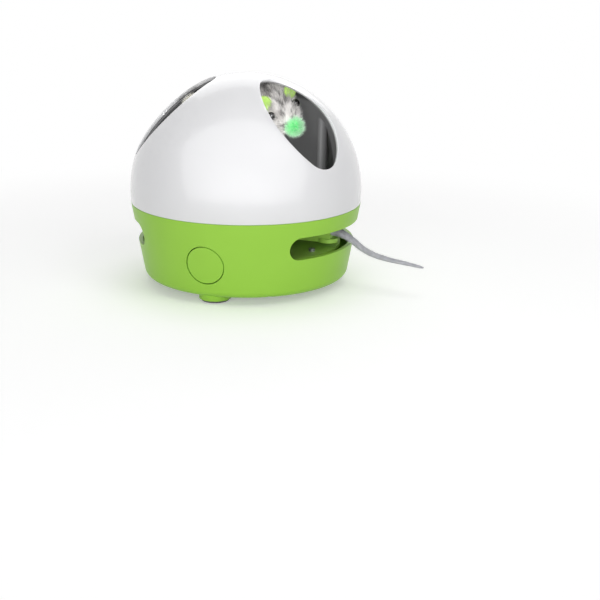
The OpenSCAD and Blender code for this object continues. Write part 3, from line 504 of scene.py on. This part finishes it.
def mergedCopy(node, look):
    # the frame's triangles are merged into flat faces, so that only true edges are left to round
    mesh = frame["nodes"][node].data.copy()
    tidy = bmesh.new()
    tidy.from_mesh(mesh)
    bmesh.ops.remove_doubles(tidy, verts=tidy.verts, dist=edgeWork["weld"])
    bmesh.ops.dissolve_limit(tidy, angle_limit=math.radians(edgeWork["flatAngle"]),
                             verts=tidy.verts, edges=tidy.edges)
    for face in tidy.faces:
        face.smooth = True
    if "shrink" in look:
        low, high = (Vector(corner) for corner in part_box(node))
        bmesh.ops.scale(tidy, vec=(look["shrink"], 1.0, look["shrink"]), verts=tidy.verts,
                        space=Matrix.Translation(-(low + high) / 2))
    tidy.to_mesh(mesh)
    tidy.free()
    return mesh


def setNormals(mesh):
    # level faces and the base's wall are shaded as the true plane and cone
    normals = [corner.vector.copy() for corner in mesh.corner_normals]
    for polygon in mesh.polygons:
        if abs(polygon.normal.z) > edgeWork["levelFace"]:
            for loop in polygon.loop_indices:
                normals[loop] = polygon.normal
        elif polygon.normal.dot(wallNormal(polygon.center)) > edgeWork["wallFace"] and onWall(polygon.center):
            for loop in polygon.loop_indices:
                normals[loop] = wallNormal(mesh.vertices[mesh.loops[loop].vertex_index].co)
    mesh.normals_split_custom_set(normals)


def roundEdges(node, look):
    piece = bpy.data.objects.new(look["name"] + "Edges", mergedCopy(node, look))
    scene.collection.objects.link(piece)
    bevel = piece.modifiers.new("softEdge", "BEVEL")
    bevel.width = look["width"]
    bevel.segments = edgeWork["segments"]
    bevel.limit_method = "ANGLE"
    bevel.angle_limit = math.radians(edgeWork["sharpAngle"])
    bevel.harden_normals = True
    result = applied(piece, look["name"])
    setNormals(result.data)
    return result


for node, look in softEdges.items():
    place(roundEdges(node, look), look["body"], slotOf[node], node)


# Coat of pile: bent strands stand on a core, follow its comb attribute and carry a tint each
strands = dict(sides=3, segments=2, bend=2.0, darkest=0.72, lightest=1.06, draws=dict(
    stray=((-1.0, -1.0, -1.0), (1.0, 1.0, 1.0)),
    spin=((0.0, 0.0, 0.0), (0.0, 0.0, 6.283)),
    size=((0.8, 0.8, 0.6), (1.2, 1.2, 1.15))))
pileInputs = dict(Density="Float", Length="Float", Thickness="Float", Curl="Float", Spread="Float",
                  Comb="Float", Seed="Int", Material="Material")


def makePileTree(look):
    tree = bpy.data.node_groups.new("pileCoat", "GeometryNodeTree")
    for way in ("OUTPUT", "INPUT"):
        tree.interface.new_socket("Geometry", in_out=way, socket_type="NodeSocketGeometry")
    sockets = {}
    for name, kind in pileInputs.items():
        socket = tree.interface.new_socket(name, in_out="INPUT", socket_type="NodeSocket" + kind)
        sockets[name] = socket.identifier
    given = addNode(tree, "NodeGroupInput").outputs
    carried = {name: addNode(tree, "GeometryNodeInputNamedAttribute", {"data_type": kind}, {
        "Name": name}).outputs["Attribute"] for name, kind in (("keep", "FLOAT"), ("comb", "FLOAT_VECTOR"))}
    drawn = {name: addNode(tree, "FunctionNodeRandomValue", {"data_type": "FLOAT_VECTOR"}, {
        "Min": low, "Max": high, "Seed": given["Seed"]}).outputs["Value"]
        for name, (low, high) in look["draws"].items()}
    crowd = addNode(tree, "ShaderNodeMath", {"operation": "MULTIPLY"}, {
        "Value": given["Density"], "Value_001": carried["keep"]})
    spots = addNode(tree, "GeometryNodeDistributePointsOnFaces", {}, {
        "Mesh": given["Geometry"], "Seed": given["Seed"], "Density": crowd.outputs["Value"]}).outputs
    strand = addNode(tree, "GeometryNodeMeshCone", {"fill_type": "NONE"}, {
        "Vertices": look["sides"], "Side Segments": look["segments"], "Radius Top": 0.0,
        "Radius Bottom": given["Thickness"], "Depth": given["Length"]}).outputs["Mesh"]
    spot = addNode(tree, "ShaderNodeSeparateXYZ", {}, {
        "Vector": addNode(tree, "GeometryNodeInputPosition").outputs["Position"]}).outputs
    share = addNode(tree, "ShaderNodeMath", {"operation": "DIVIDE"}, {
        "Value": spot["Z"], "Value_001": given["Length"]}).outputs["Value"]
    bow = addNode(tree, "ShaderNodeMath", {"operation": "POWER"}, {"Value": share, "Value_001": look["bend"]})
    sway = addNode(tree, "ShaderNodeMath", {"operation": "MULTIPLY"}, {
        "Value": bow.outputs["Value"], "Value_001": given["Curl"]})
    offset = addNode(tree, "ShaderNodeCombineXYZ", {}, {"X": sway.outputs["Value"]})
    bent = addNode(tree, "GeometryNodeSetPosition", {}, {
        "Geometry": strand, "Offset": offset.outputs["Vector"]})
    marked = addNode(tree, "GeometryNodeStoreNamedAttribute", {"data_type": "FLOAT", "domain": "POINT"}, {
        "Geometry": bent.outputs["Geometry"], "Name": "along", "Value": share})
    # a strand stands along the core's normal, and leans by its own stray and by the comb
    heading, combed = (addNode(tree, "ShaderNodeVectorMath", {"operation": "SCALE"}, {
        "Vector": way, "Scale": given[amount]}).outputs["Vector"]
        for way, amount in ((drawn["stray"], "Spread"), (carried["comb"], "Comb")))
    for way in (combed, spots["Normal"]):
        heading = addNode(tree, "ShaderNodeVectorMath", {"operation": "ADD"}, {
            "Vector": heading, "Vector_001": way}).outputs["Vector"]
    spun = addNode(tree, "FunctionNodeEulerToRotation", {}, {"Euler": drawn["spin"]})
    aimed = addNode(tree, "FunctionNodeAlignRotationToVector", {"axis": "Z"}, {
        "Rotation": spun.outputs["Rotation"], "Vector": heading})
    planted = addNode(tree, "GeometryNodeInstanceOnPoints", {}, {
        "Points": spots["Points"], "Instance": marked.outputs["Geometry"],
        "Rotation": aimed.outputs["Rotation"], "Scale": drawn["size"]})
    toned = addNode(tree, "FunctionNodeRandomValue", {"data_type": "FLOAT"}, {
        "Min_001": look["darkest"], "Max_001": look["lightest"], "Seed": given["Seed"]})
    shaded = addNode(tree, "GeometryNodeStoreNamedAttribute", {"data_type": "FLOAT", "domain": "INSTANCE"}, {
        "Geometry": planted.outputs["Instances"], "Name": "shade", "Value": outputOf(toned, "Value_001")})
    real = addNode(tree, "GeometryNodeRealizeInstances", {}, {
        "Geometry": shaded.outputs["Geometry"]}).outputs["Geometry"]
    whole = addNode(tree, "GeometryNodeJoinGeometry")
    for part in (given["Geometry"], real):
        tree.links.new(part, whole.inputs["Geometry"])
    coated = addNode(tree, "GeometryNodeSetMaterial", {}, {
        "Geometry": whole.outputs["Geometry"], "Material": given["Material"]})
    addNode(tree, "NodeGroupOutput", {}, {"Socket_0": coated.outputs["Geometry"]})
    return tree, sockets


pileTree, pileSockets = makePileTree(strands)


def growPile(core, name, look, slot, tintAt, combAt=lambda p: Vector(), keepAt=lambda p: 1.0):
    mesh = core.data
    spots = [v.co.copy() for v in mesh.vertices]
    tints = [tintAt(p) for p in spots]
    for attribute, kind, field, values in (
            ("pileTint", "FLOAT_COLOR", "color", [t[0] for t in tints]),
            ("tipTint", "FLOAT_COLOR", "color", [t[1] for t in tints]),
            ("comb", "FLOAT_VECTOR", "vector", [combAt(p) for p in spots]),
            ("keep", "FLOAT", "value", [keepAt(p) for p in spots]),
            # the core's shade is painted shade, darkening the skin seen between the roots
            ("shade", "FLOAT", "value", [look["paintedRootShade"]] * len(spots)),
            ("along", "FLOAT", "value", [0.0] * len(spots))):
        layer = mesh.attributes.new(attribute, kind, "POINT")
        layer.data.foreach_set(field, np.array(values, dtype=np.float32).ravel())
    coat = core.modifiers.new("pile", "NODES")
    coat.node_group = pileTree
    for socket, identifier in pileSockets.items():
        coat[identifier] = finishes[slot] if socket == "Material" else look[socket]
    piece = applied(core, name)
    for unused in ("comb", "keep"):
        piece.data.attributes.remove(piece.data.attributes[unused])
    return piece


# What is soft stays under the dome: its cores, and then the pile on them
underDome = dict(core=80.2 * mm, pile=81.3 * mm)


def keepUnderDome(piece, limit):
    # what reaches the liner lies along it
    spots = np.zeros(len(piece.data.vertices) * 3, dtype=np.float32)
    piece.data.vertices.foreach_get("co", spots)
    rays = spots.reshape(-1, 3) - np.array(domeCentre)
    reach = np.linalg.norm(rays, axis=1, keepdims=True)
    rays *= np.minimum(1.0, limit / np.maximum(reach, 1e-6))
    piece.data.vertices.foreach_set("co", (rays + np.array(domeCentre)).astype(np.float32).ravel())
    piece.data.update()


def growUnderDome(core, name, look, slot, tintAt, **ways):
    piece = growPile(core, name, look, slot, tintAt, **ways)
    keepUnderDome(piece, underDome["pile"])
    return piece


def sweptCore(name, route, widths, heights, sides, slot):
    vertices = []
    last = len(route) - 1
    for i, centre in enumerate(route):
        ahead = (route[min(i + 1, last)] - route[max(i - 1, 0)]).normalized()
        side = Vector((0, 0, 1)).cross(ahead).normalized()
        up = ahead.cross(side)
        for k in range(sides):
            angle = 2 * math.pi * k / sides
            vertices.append(centre + side * widths[i] * math.cos(angle) + up * heights[i] * math.sin(angle))
    rings = [range(i * sides, (i + 1) * sides) for i in range(last + 1)]
    faces = tubeFaces(rings)
    foot, tip = len(vertices), len(vertices) + 1
    vertices += [route[0], route[-1]]
    faces += [(foot, rings[0][k], rings[0][(k + 1) % sides]) for k in range(sides)]
    faces += [(tip, rings[-1][(k + 1) % sides], rings[-1][k]) for k in range(sides)]
    core = meshObject(name, vertices, faces, finishes[slot])
    cleanMesh(core)
    return core


# Padded pieces: a swept core, thinner than the piece by its pile, swells by no more than the cap
stuffing = dict(coreShare=0.87, sides=32, voxel=1.7 * mm, pressure=4.0, frames=16, cap=0.9 * mm, fill=0.8)


def stuff(core, name):
    # the sewn skin is blown up a little, so that it swells between its ends as a stuffed toy does
    remesh = core.modifiers.new("skin", "REMESH")
    remesh.mode = "VOXEL"
    remesh.voxel_size = stuffing["voxel"]
    skin = applied(core, name + "Skin")
    before = [v.co.copy() for v in skin.data.vertices]
    cloth = skin.modifiers.new("stuffing", "CLOTH")
    cloth.settings.use_pressure = True
    cloth.settings.uniform_pressure_force = stuffing["pressure"]
    cloth.settings.effector_weights.gravity = 0.0
    cloth.point_cache.frame_start = 1
    cloth.point_cache.frame_end = stuffing["frames"]
    for step in range(1, stuffing["frames"] + 1):
        scene.frame_set(step)
    swollen = applied(skin, name)
    for vertex, start in zip(swollen.data.vertices, before):
        move = vertex.co - start
        vertex.co = start + move * min(1.0, stuffing["cap"] / max(move.length, 1e-9))
    scene.frame_set(1)
    return swollen


def stuffUnderDome(core, name):
    keepUnderDome(core, underDome["core"])
    core = stuff(core, name)
    keepUnderDome(core, underDome["core"])
    return core


# Tabby plush: dark streaks run back from the face, the mouse's left cheek is white, and its rump is darkened with
# painted shade
tabby = dict(light="F1EEEC", mid="CFCAC7", dark="423D3B", white="FBFAF8", tip="FAF8F6",
             cloudScale=160, cloudRange=(-0.3, 0.4),
             streakAlong=70, streakAcross=420, streakRange=(0.12, 0.27),
             cheekSide=0.75, cheekDrop=0.5, cheekRange=(0.35, 0.9), cheekClear=0.8,
             cheekWhite=0.7, tipWhite=0.3)


def tabbyTint(local, paintedRumpShade):
    along, across = tabby["streakAlong"], tabby["streakAcross"]
    streak = noise.noise(Vector((local.x * along, local.y * across, local.z * across)))
    cloud = noise.noise(local * tabby["cloudScale"])
    colour = blend(hexColour(tabby["light"]), hexColour(tabby["mid"]), smoothStep(tabby["cloudRange"], cloud))
    half = mouseHead["half"]
    lean = tabby["cheekSide"] * local.y / half - tabby["cheekDrop"] * local.z / half
    cheek = smoothStep(tabby["cheekRange"], lean)
    # painted rump shade darkens the fur towards the dark colour as the streaks do, and keeps its tips from paling
    darkness = max(smoothStep(tabby["streakRange"], streak) * (1 - tabby["cheekClear"] * cheek), paintedRumpShade)
    colour = blend(colour, hexColour(tabby["dark"]), darkness)
    colour = blend(colour, hexColour(tabby["white"]), cheek * tabby["cheekWhite"])
    return colour, blend(colour, hexColour(tabby["tip"]), tabby["tipWhite"] * (1 - paintedRumpShade))


# Mouse's head, whose own axes point out of the snout, the left ear and the crown
mouseHead = dict(
    place=Vector((17, 12.5, 127)) * mm, turn=-27.4, pitch=27.0, roll=24.0, back=16 * mm, front=24 * mm,
    half=17 * mm, rings=24, endShare=0.1, widest=0.68, roundness=0.9, flatness=0.94,
    eye=(11, 11.05, 6.46), eyeRoom=4.4 * mm, ear=(3.5, 11.56, 10.54), nose=(24, 0, 0), noseRoom=7.5 * mm,
    combedTo=(-1, 0, 0.1), Density=2.6e6, Length=5.2 * mm, Thickness=0.2 * mm, Curl=1.4 * mm, Spread=0.5,
    Comb=0.9, Seed=3, paintedRootShade=0.7)


def turned(degrees, axis):
    return Matrix.Rotation(math.radians(degrees), 4, axis)


def bothSides(spot):
    x, y, z = spot
    return [Vector((x, side * y, z)) * mm for side in (1, -1)]


headFrame = (Matrix.Translation(toyAxis + mouseHead["place"]) @ turned(mouseHead["turn"], "Z")
             @ turned(mouseHead["pitch"], "Y") @ turned(mouseHead["roll"], "X"))
noseSpot = Vector(mouseHead["nose"]) * mm


def makeMouseHead(look):
    shares = [i / look["rings"] for i in range(look["rings"] + 1)]
    length = look["back"] + look["front"]
    route = [Vector((-look["back"] + length * (1 - math.cos(math.pi * t)) / 2, 0, 0)) for t in shares]
    girth = []
    for t in shares[1:-1]:
        swell = math.sin(math.pi * t ** look["widest"]) ** look["roundness"]
        girth.append(look["half"] * stuffing["coreShare"] * max(look["endShare"], swell))
    end = look["half"] * look["endShare"]
    girth = [end] + girth + [end]
    heights = [g * look["flatness"] for g in girth]
    core = sweptCore("headCore", route, girth, heights, stuffing["sides"], "grey_fur")
    core.data.transform(headFrame)
    core = stuffUnderDome(core, "headStuffed")
    inverse = headFrame.inverted()
    combed = headFrame.to_3x3() @ Vector(look["combedTo"])
    eyes = bothSides(look["eye"])

    def keepAt(p):
        local = inverse @ p
        if any((local - eye).length < look["eyeRoom"] for eye in eyes):
            return 0.0
        return 0.0 if (local - noseSpot).length < look["noseRoom"] else 1.0

    return growUnderDome(core, "mouseHead", look, "grey_fur", lambda p: tabbyTint(inverse @ p, 0.0),
                         combAt=lambda p: combed, keepAt=keepAt)


# Mouse's body, which bends round the post from its rump to its neck: reach, turn and height of each end
mouseBody = dict(
    start=(35 * mm, 182.0, 121 * mm), end=(25 * mm, 52.0, 127 * mm), half=16.5 * mm, rings=28,
    endShare=0.08, arcStart=4, arc=146, widest=0.8, roundness=0.6, paintedRumpShadeFrom=(110, 150),
    Density=2.6e6, Length=4.0 * mm, Thickness=0.17 * mm, Curl=0.9 * mm, Spread=0.35, Comb=0.7, Seed=8,
    paintedRootShade=0.7)


def makeMouseBody(look):
    route = []
    girth = []
    for i in range(look["rings"] + 1):
        t = i / look["rings"]
        reach, turn, height = (a + (b - a) * t for a, b in zip(look["start"], look["end"]))
        angle = math.radians(turn)
        route.append(toyAxis + Vector((reach * math.cos(angle), reach * math.sin(angle), height)))
        arc = math.radians(look["arcStart"] + look["arc"] * t ** look["widest"])
        swell = math.sin(arc) ** look["roundness"]
        girth.append(look["half"] * stuffing["coreShare"] * max(look["endShare"], swell))
    core = sweptCore("bodyCore", route, girth, girth, stuffing["sides"], "grey_fur")
    core = stuffUnderDome(core, "bodyStuffed")

    def combAt(p):
        ray = p - toyAxis
        return Vector((-ray.y, ray.x, 0)).normalized()

    # the fur takes painted shade as it turns towards the rump
    def tintAt(p):
        ray = p - toyAxis
        turn = math.degrees(math.atan2(ray.y, ray.x)) % 360
        return tabbyTint(p - domeCentre, smoothStep(look["paintedRumpShadeFrom"], turn))

    return growUnderDome(core, "mouseBody", look, "grey_fur", tintAt, combAt=combAt)


headPiece = makeMouseHead(mouseHead)
place(headPiece, "carousel", "grey_fur", "mouse_head")
bodyPiece = makeMouseBody(mouseBody)
place(bodyPiece, "carousel", "grey_fur", "mouse_body")


# Yarn balls: strands stand straight out of a small core
yarnBalls = {
    "nose_ball": dict(name="noseBall", slot="mint_fluff", body="carousel", root="6EFC96", tip="F2FFF2",
                      core=0.64, Density=8e6, Length=4.2 * mm, Thickness=0.15 * mm, Curl=0.5 * mm,
                      Spread=0.35, Comb=0.0, Seed=5, paintedRootShade=0.8),
    "rump_ball": dict(name="rumpBall", slot="cream_fluff", body="carousel", root="FFFBEA", tip="FFFFFA",
                      core=0.66, Density=6e6, Length=3.8 * mm, Thickness=0.17 * mm, Curl=0.6 * mm,
                      Spread=0.3, Comb=0.0, Seed=6, paintedRootShade=0.95),
}


def makeYarnBall(node, look):
    low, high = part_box(node)
    size = max(high - low) / 2
    centre = headFrame @ noseSpot if node == "nose_ball" else (low + high) / 2
    ball = bmesh.new()
    bmesh.ops.create_icosphere(ball, subdivisions=3, radius=size * look["core"])
    bmesh.ops.translate(ball, vec=centre, verts=ball.verts)
    mesh = bpy.data.meshes.new(look["name"] + "Core")
    ball.to_mesh(mesh)
    ball.free()
    core = bpy.data.objects.new(mesh.name, mesh)
    scene.collection.objects.link(core)
    tints = (hexColour(look["root"]), hexColour(look["tip"]))
    return growUnderDome(core, look["name"], look, look["slot"], lambda p: tints)


for node, look in yarnBalls.items():
    place(makeYarnBall(node, look), look["body"], look["slot"], node)


# Ears: two small cupped discs of lime felt
ear = dict(radius=6.0 * mm, thick=2.0 * mm, cup=1.1 * mm, rings=9, sides=28, weld=1e-6,
           apart=0.6, lift=2.6, splay=38, tilt=62, root="B4DA68", tip="DFF4B0",
           Density=7e6, Length=1.3 * mm, Thickness=0.1 * mm, Curl=0.3 * mm, Spread=0.7, Comb=0.0, Seed=11,
           paintedRootShade=0.9)


def earFace(look, front):
    # one face of the cup: its middle, and then its rings
    half = front * look["thick"] / 2
    points = [Vector((0, 0, half - look["cup"]))]
    for ring in range(1, look["rings"] + 1):
        share = ring / look["rings"]
        rise = half * math.sqrt(max(0.0, 1 - share ** 3)) - look["cup"] * (1 - share ** 2)
        for k in range(look["sides"]):
            angle = 2 * math.pi * k / look["sides"]
            reach = look["radius"] * share
            points.append(Vector((reach * math.cos(angle), reach * math.sin(angle), rise)))
    return points


def makeEars(look):
    vertices, faces = [], []
    sides = look["sides"]
    for spot, side in zip(bothSides(mouseHead["ear"]), (1, -1)):
        root = spot + Vector((0, side * look["apart"], look["lift"])) * mm
        stand = Matrix.Translation(root) @ turned(-side * look["splay"], "X") @ turned(look["tilt"], "Y")
        for front in (1, -1):
            start = len(vertices)
            vertices += [headFrame @ (stand @ p) for p in earFace(look, front)]
            rings = [range(start + 1 + r * sides, start + 1 + (r + 1) * sides) for r in range(look["rings"])]
            faces += [(start, rings[0][k], rings[0][(k + 1) % sides]) for k in range(sides)]
            faces += tubeFaces(rings)
    core = meshObject("earCore", vertices, faces, finishes["green_felt"])
    cleanMesh(core, look["weld"])
    tints = (hexColour(look["root"]), hexColour(look["tip"]))
    return growUnderDome(core, "mouseEars", look, "green_felt", lambda p: tints)


place(makeEars(ear), "carousel", "green_felt", "mouse_ears")


# Tail: a tapered strip of grey felt that flops out of the slot, by its reach from the post and its height
tail = dict(
    route=[(57, 42), (62, 42), (67, 42), (72, 41.4), (77, 39.6), (83, 36.3), (90, 31.2), (99, 27.2),
           (110, 24.8), (121, 23.4), (129, 22.3), (136, 21.3)],
    rootHalf=(4.6, 2.6), tipHalf=(1.0, 0.8), taper=1.5, tipReach=1.02, tipSteepness=14, steps=6, sides=24,
    mottle="ACACB3", root="BEBEC4", tip="E4E4EA", coarse=420, fine=1300, fineShare=0.5,
    mottleRange=(-0.4, 0.4), combedTo=(1, 0, -0.3), Density=6e6, Length=0.9 * mm, Thickness=0.06 * mm,
    Curl=0.5 * mm, Spread=1.2, Comb=0.4, Seed=14, paintedRootShade=0.95)


def smoothRoute(points, steps):
    route = []
    for i in range(len(points) - 1):
        a, b, c, d = (Vector(points[min(max(i + k, 0), len(points) - 1)]) for k in (-1, 0, 1, 2))
        for step in range(steps):
            t = step / steps
            route.append(0.5 * (2 * b + (c - a) * t + (2 * a - 5 * b + 4 * c - d) * t * t
                                + (3 * b - a - 3 * c + d) * t ** 3))
    return route + [Vector(points[-1])]


def makeTail(look):
    route = [toyAxis + Vector((p.x, 0, p.y)) * mm for p in smoothRoute(look["route"], look["steps"])]
    sizes = []
    for root, tip in zip(look["rootHalf"], look["tipHalf"]):
        half = []
        for i in range(len(route)):
            t = i / (len(route) - 1)
            close = math.sqrt(min(1.0, (look["tipReach"] - t) * look["tipSteepness"]))
            half.append((root + (tip - root) * t ** look["taper"]) * mm * close)
        sizes.append(half)
    core = sweptCore("tailCore", route, *sizes, look["sides"], "grey_felt")

    def tintAt(p):
        grain = noise.noise(p * look["coarse"]) + look["fineShare"] * noise.noise(p * look["fine"])
        weight = smoothStep(look["mottleRange"], grain)
        return blend(hexColour(look["mottle"]), hexColour(look["root"]), weight), hexColour(look["tip"])

    combed = Vector(look["combedTo"])
    return growPile(core, "feltTail", look, "grey_felt", tintAt, combAt=lambda p: combed)


place(makeTail(tail), "tail", "grey_felt", "felt_tail")


# Raised marks beside the power knob
switchMarks = dict(words=dict(ON=17.5 * mm, OFF=-18.5 * mm), y=-43 * mm, z=5.5 * mm,
                   height=3.4 * mm, lift=0.35 * mm)


def makeSwitchMark(look, word, x):
    curve = bpy.data.curves.new("mark" + word, "FONT")
    curve.body = word
    curve.size = look["height"]
    curve.align_x = "CENTER"
    curve.align_y = "CENTER"
    curve.extrude = look["lift"]
    letters = bpy.data.objects.new("letters" + word, curve)
    scene.collection.objects.link(letters)
    piece = applied(letters, "switchMark" + word.title())
    # the underside is read from below, with the front at the top
    spot = toyAxis + Vector((x, look["y"], look["z"]))
    piece.data.transform(Matrix.Translation(spot) @ turned(180, "X"))
    piece.data.materials.clear()
    piece.data.materials.append(finishes["green_plastic"])
    return piece


for word, x in switchMarks["words"].items():
    place(makeSwitchMark(switchMarks, word, x), "base", "green_plastic")


# White paper sweep under the toy, and a plain white background
studio = dict(ambient=0.3, floorGlow=0.3, floorColour="EDEDED", floorHalf=6.0, floorDrop=0.15 * mm,
              fadeStart=0.22, fadeEnd=0.5, white=1.0)


def directRays(tree):
    # 1 for what the camera sees straight on, in a reflection or through something clear
    path = addNode(tree, "ShaderNodeLightPath").outputs
    seen = path["Is Camera Ray"]
    for ray in ("Is Glossy Ray", "Is Transmission Ray"):
        seen = addNode(tree, "ShaderNodeMath", {"operation": "MAXIMUM"}, {
            "Value": seen, "Value_001": path[ray]}).outputs["Value"]
    return seen


def makePaper(look):
    material = bpy.data.materials.new("paperSweep")
    material.use_nodes = True
    tree = material.node_tree
    tree.nodes.clear()
    seen = directRays(tree)
    paper = addNode(tree, "ShaderNodeBsdfDiffuse", {}, {"Color": hexColour(look["floorColour"])})
    lift = addNode(tree, "ShaderNodeMath", {"operation": "MULTIPLY"}, {
        "Value": seen, "Value_001": look["floorGlow"]})
    glow = addNode(tree, "ShaderNodeEmission", {}, {"Strength": lift.outputs["Value"]})
    both = addNode(tree, "ShaderNodeAddShader", {}, {
        "Shader": paper.outputs["BSDF"], "Shader_001": glow.outputs["Emission"]})
    # away from the toy the paper turns into the plain white of the background
    coords = addNode(tree, "ShaderNodeTexCoord").outputs["Object"]
    reach = addNode(tree, "ShaderNodeVectorMath", {"operation": "DISTANCE"}, {
        "Vector": coords, "Vector_001": toyAxis})
    fade = addNode(tree, "ShaderNodeMapRange", {"interpolation_type": "SMOOTHSTEP"}, {
        "Value": reach.outputs["Value"], "From Min": look["fadeStart"], "From Max": look["fadeEnd"]})
    far = addNode(tree, "ShaderNodeMath", {"operation": "MULTIPLY"}, {
        "Value": fade.outputs["Result"], "Value_001": seen})
    white = addNode(tree, "ShaderNodeEmission", {}, {"Strength": look["white"]})
    mixed = addNode(tree, "ShaderNodeMixShader", {}, {
        "Fac": far.outputs["Value"], "Shader": both.outputs["Shader"],
        "Shader_001": white.outputs["Emission"]})
    addNode(tree, "ShaderNodeOutputMaterial", {}, {"Surface": mixed.outputs["Shader"]})
    return material


def makeFloor(look):
    half = look["floorHalf"]
    corners = [(x * half, y * half, -look["floorDrop"]) for x, y in ((-1, -1), (1, -1), (1, 1), (-1, 1))]
    meshObject("floor", corners, [(0, 1, 2, 3)], makePaper(look))


def makeWorld(look):
    scene.world = bpy.data.worlds.new("studio")
    scene.world.use_nodes = True
    tree = scene.world.node_tree
    tree.nodes.clear()
    soft, white = (addNode(tree, "ShaderNodeBackground", {}, {"Color": (1, 1, 1, 1), "Strength": strength})
                   for strength in (look["ambient"], look["white"]))
    mixed = addNode(tree, "ShaderNodeMixShader", {}, {
        "Fac": directRays(tree), "Shader": soft.outputs["Background"],
        "Shader_001": white.outputs["Background"]})
    addNode(tree, "ShaderNodeOutputWorld", {}, {"Surface": mixed.outputs["Shader"]})


# Each box stands at an azimuth, a height angle and a distance from the dome
# The boxes light it, and only the back box and one big card show in its gloss
lamps = {
    "keyBox": dict(azimuth=287, rise=11, distance=1.3, size=(1.7, 0.62), watts=9.9,
                   lights=True, shines=False),
    "windowBox": dict(azimuth=335, rise=46, distance=1.1, size=(0.45, 0.45), watts=1.8,
                      lights=True, shines=False),
    "topBox": dict(azimuth=90, rise=84, distance=1.2, size=(0.8, 0.8), watts=3.7,
                   lights=True, shines=False),
    "backBox": dict(azimuth=110, rise=34, distance=1.4, size=(1.4, 1.0), watts=3.8,
                    lights=True, shines=True),
    "shineCard": dict(azimuth=289, rise=36, distance=1.2, size=(4.2, 2.3), watts=44.0,
                      lights=False, shines=True),
}
# Small lamps light the mouse through its window and the dark inside, measured from the middle of the dome
smallLamps = {
    "mouseLamp": dict(place=(52, -58, 78), aim=(22, 8, 56), cone=48.0, watts=0.155,
                      blur=0.6, radius=6 * mm),
    "insideLamp": dict(place=(14, -30, 12), aim=(20, 30, 60), cone=175.0, watts=0.115,
                       blur=0.6, radius=6 * mm),
}


def hangLamp(lamp, watts, spot, aim):
    holder = bpy.data.objects.new(lamp.name, lamp)
    scene.collection.objects.link(holder)
    lamp.energy = watts
    holder.location = spot
    holder.rotation_mode = "QUATERNION"
    holder.rotation_quaternion = (aim - spot).to_track_quat("-Z", "Y")
    holder.visible_camera = False
    return holder


def addBox(name, look):
    lamp = bpy.data.lights.new(name, "AREA")
    lamp.shape = "RECTANGLE"
    lamp.size, lamp.size_y = look["size"]
    spot = domeCentre + aimedFrom(look["azimuth"], look["rise"]) * look["distance"]
    holder = hangLamp(lamp, look["watts"], spot, domeCentre)
    holder.visible_diffuse = look["lights"]
    holder.visible_glossy = look["shines"]


def addSmallLamp(name, look):
    lamp = bpy.data.lights.new(name, "SPOT")
    lamp.spot_size = math.radians(look["cone"])
    lamp.spot_blend = look["blur"]
    lamp.shadow_soft_size = look["radius"]
    spot, aim = (domeCentre + Vector(look[end]) * mm for end in ("place", "aim"))
    hangLamp(lamp, look["watts"], spot, aim)


# The dome's middle sits at this pixel of a 600 pixel square frame
shot = dict(distance=880 * mm, azimuth=291.5, elevation=11.75, focalPixels=1184.0, imagePixels=600.0,
            domePixel=(246.4, 189.0), sensor=36.0, clipStart=0.05)


def makeCamera(look):
    out = aimedFrom(look["azimuth"], look["elevation"])
    camera = bpy.data.cameras.new("camera")
    camera.sensor_width = look["sensor"]
    camera.lens = look["focalPixels"] / look["imagePixels"] * look["sensor"]
    camera.clip_start = look["clipStart"]
    holder = bpy.data.objects.new("camera", camera)
    scene.collection.objects.link(holder)
    holder.location = domeCentre + out * look["distance"]
    middle = look["imagePixels"] / 2
    across, down = look["domePixel"]
    sight = Vector((across - middle, middle - down, -look["focalPixels"])).normalized()
    aside = sight.rotation_difference(Vector((0, 0, -1)))
    holder.rotation_mode = "QUATERNION"
    holder.rotation_quaternion = (-out).to_track_quat("-Z", "Y") @ aside
    scene.camera = holder


makeFloor(studio)
makeWorld(studio)
makeCamera(shot)
for name, look in lamps.items():
    addBox(name, look)
for name, look in smallLamps.items():
    addSmallLamp(name, look)
scene.view_settings.view_transform = "Standard"
print("studio ready")
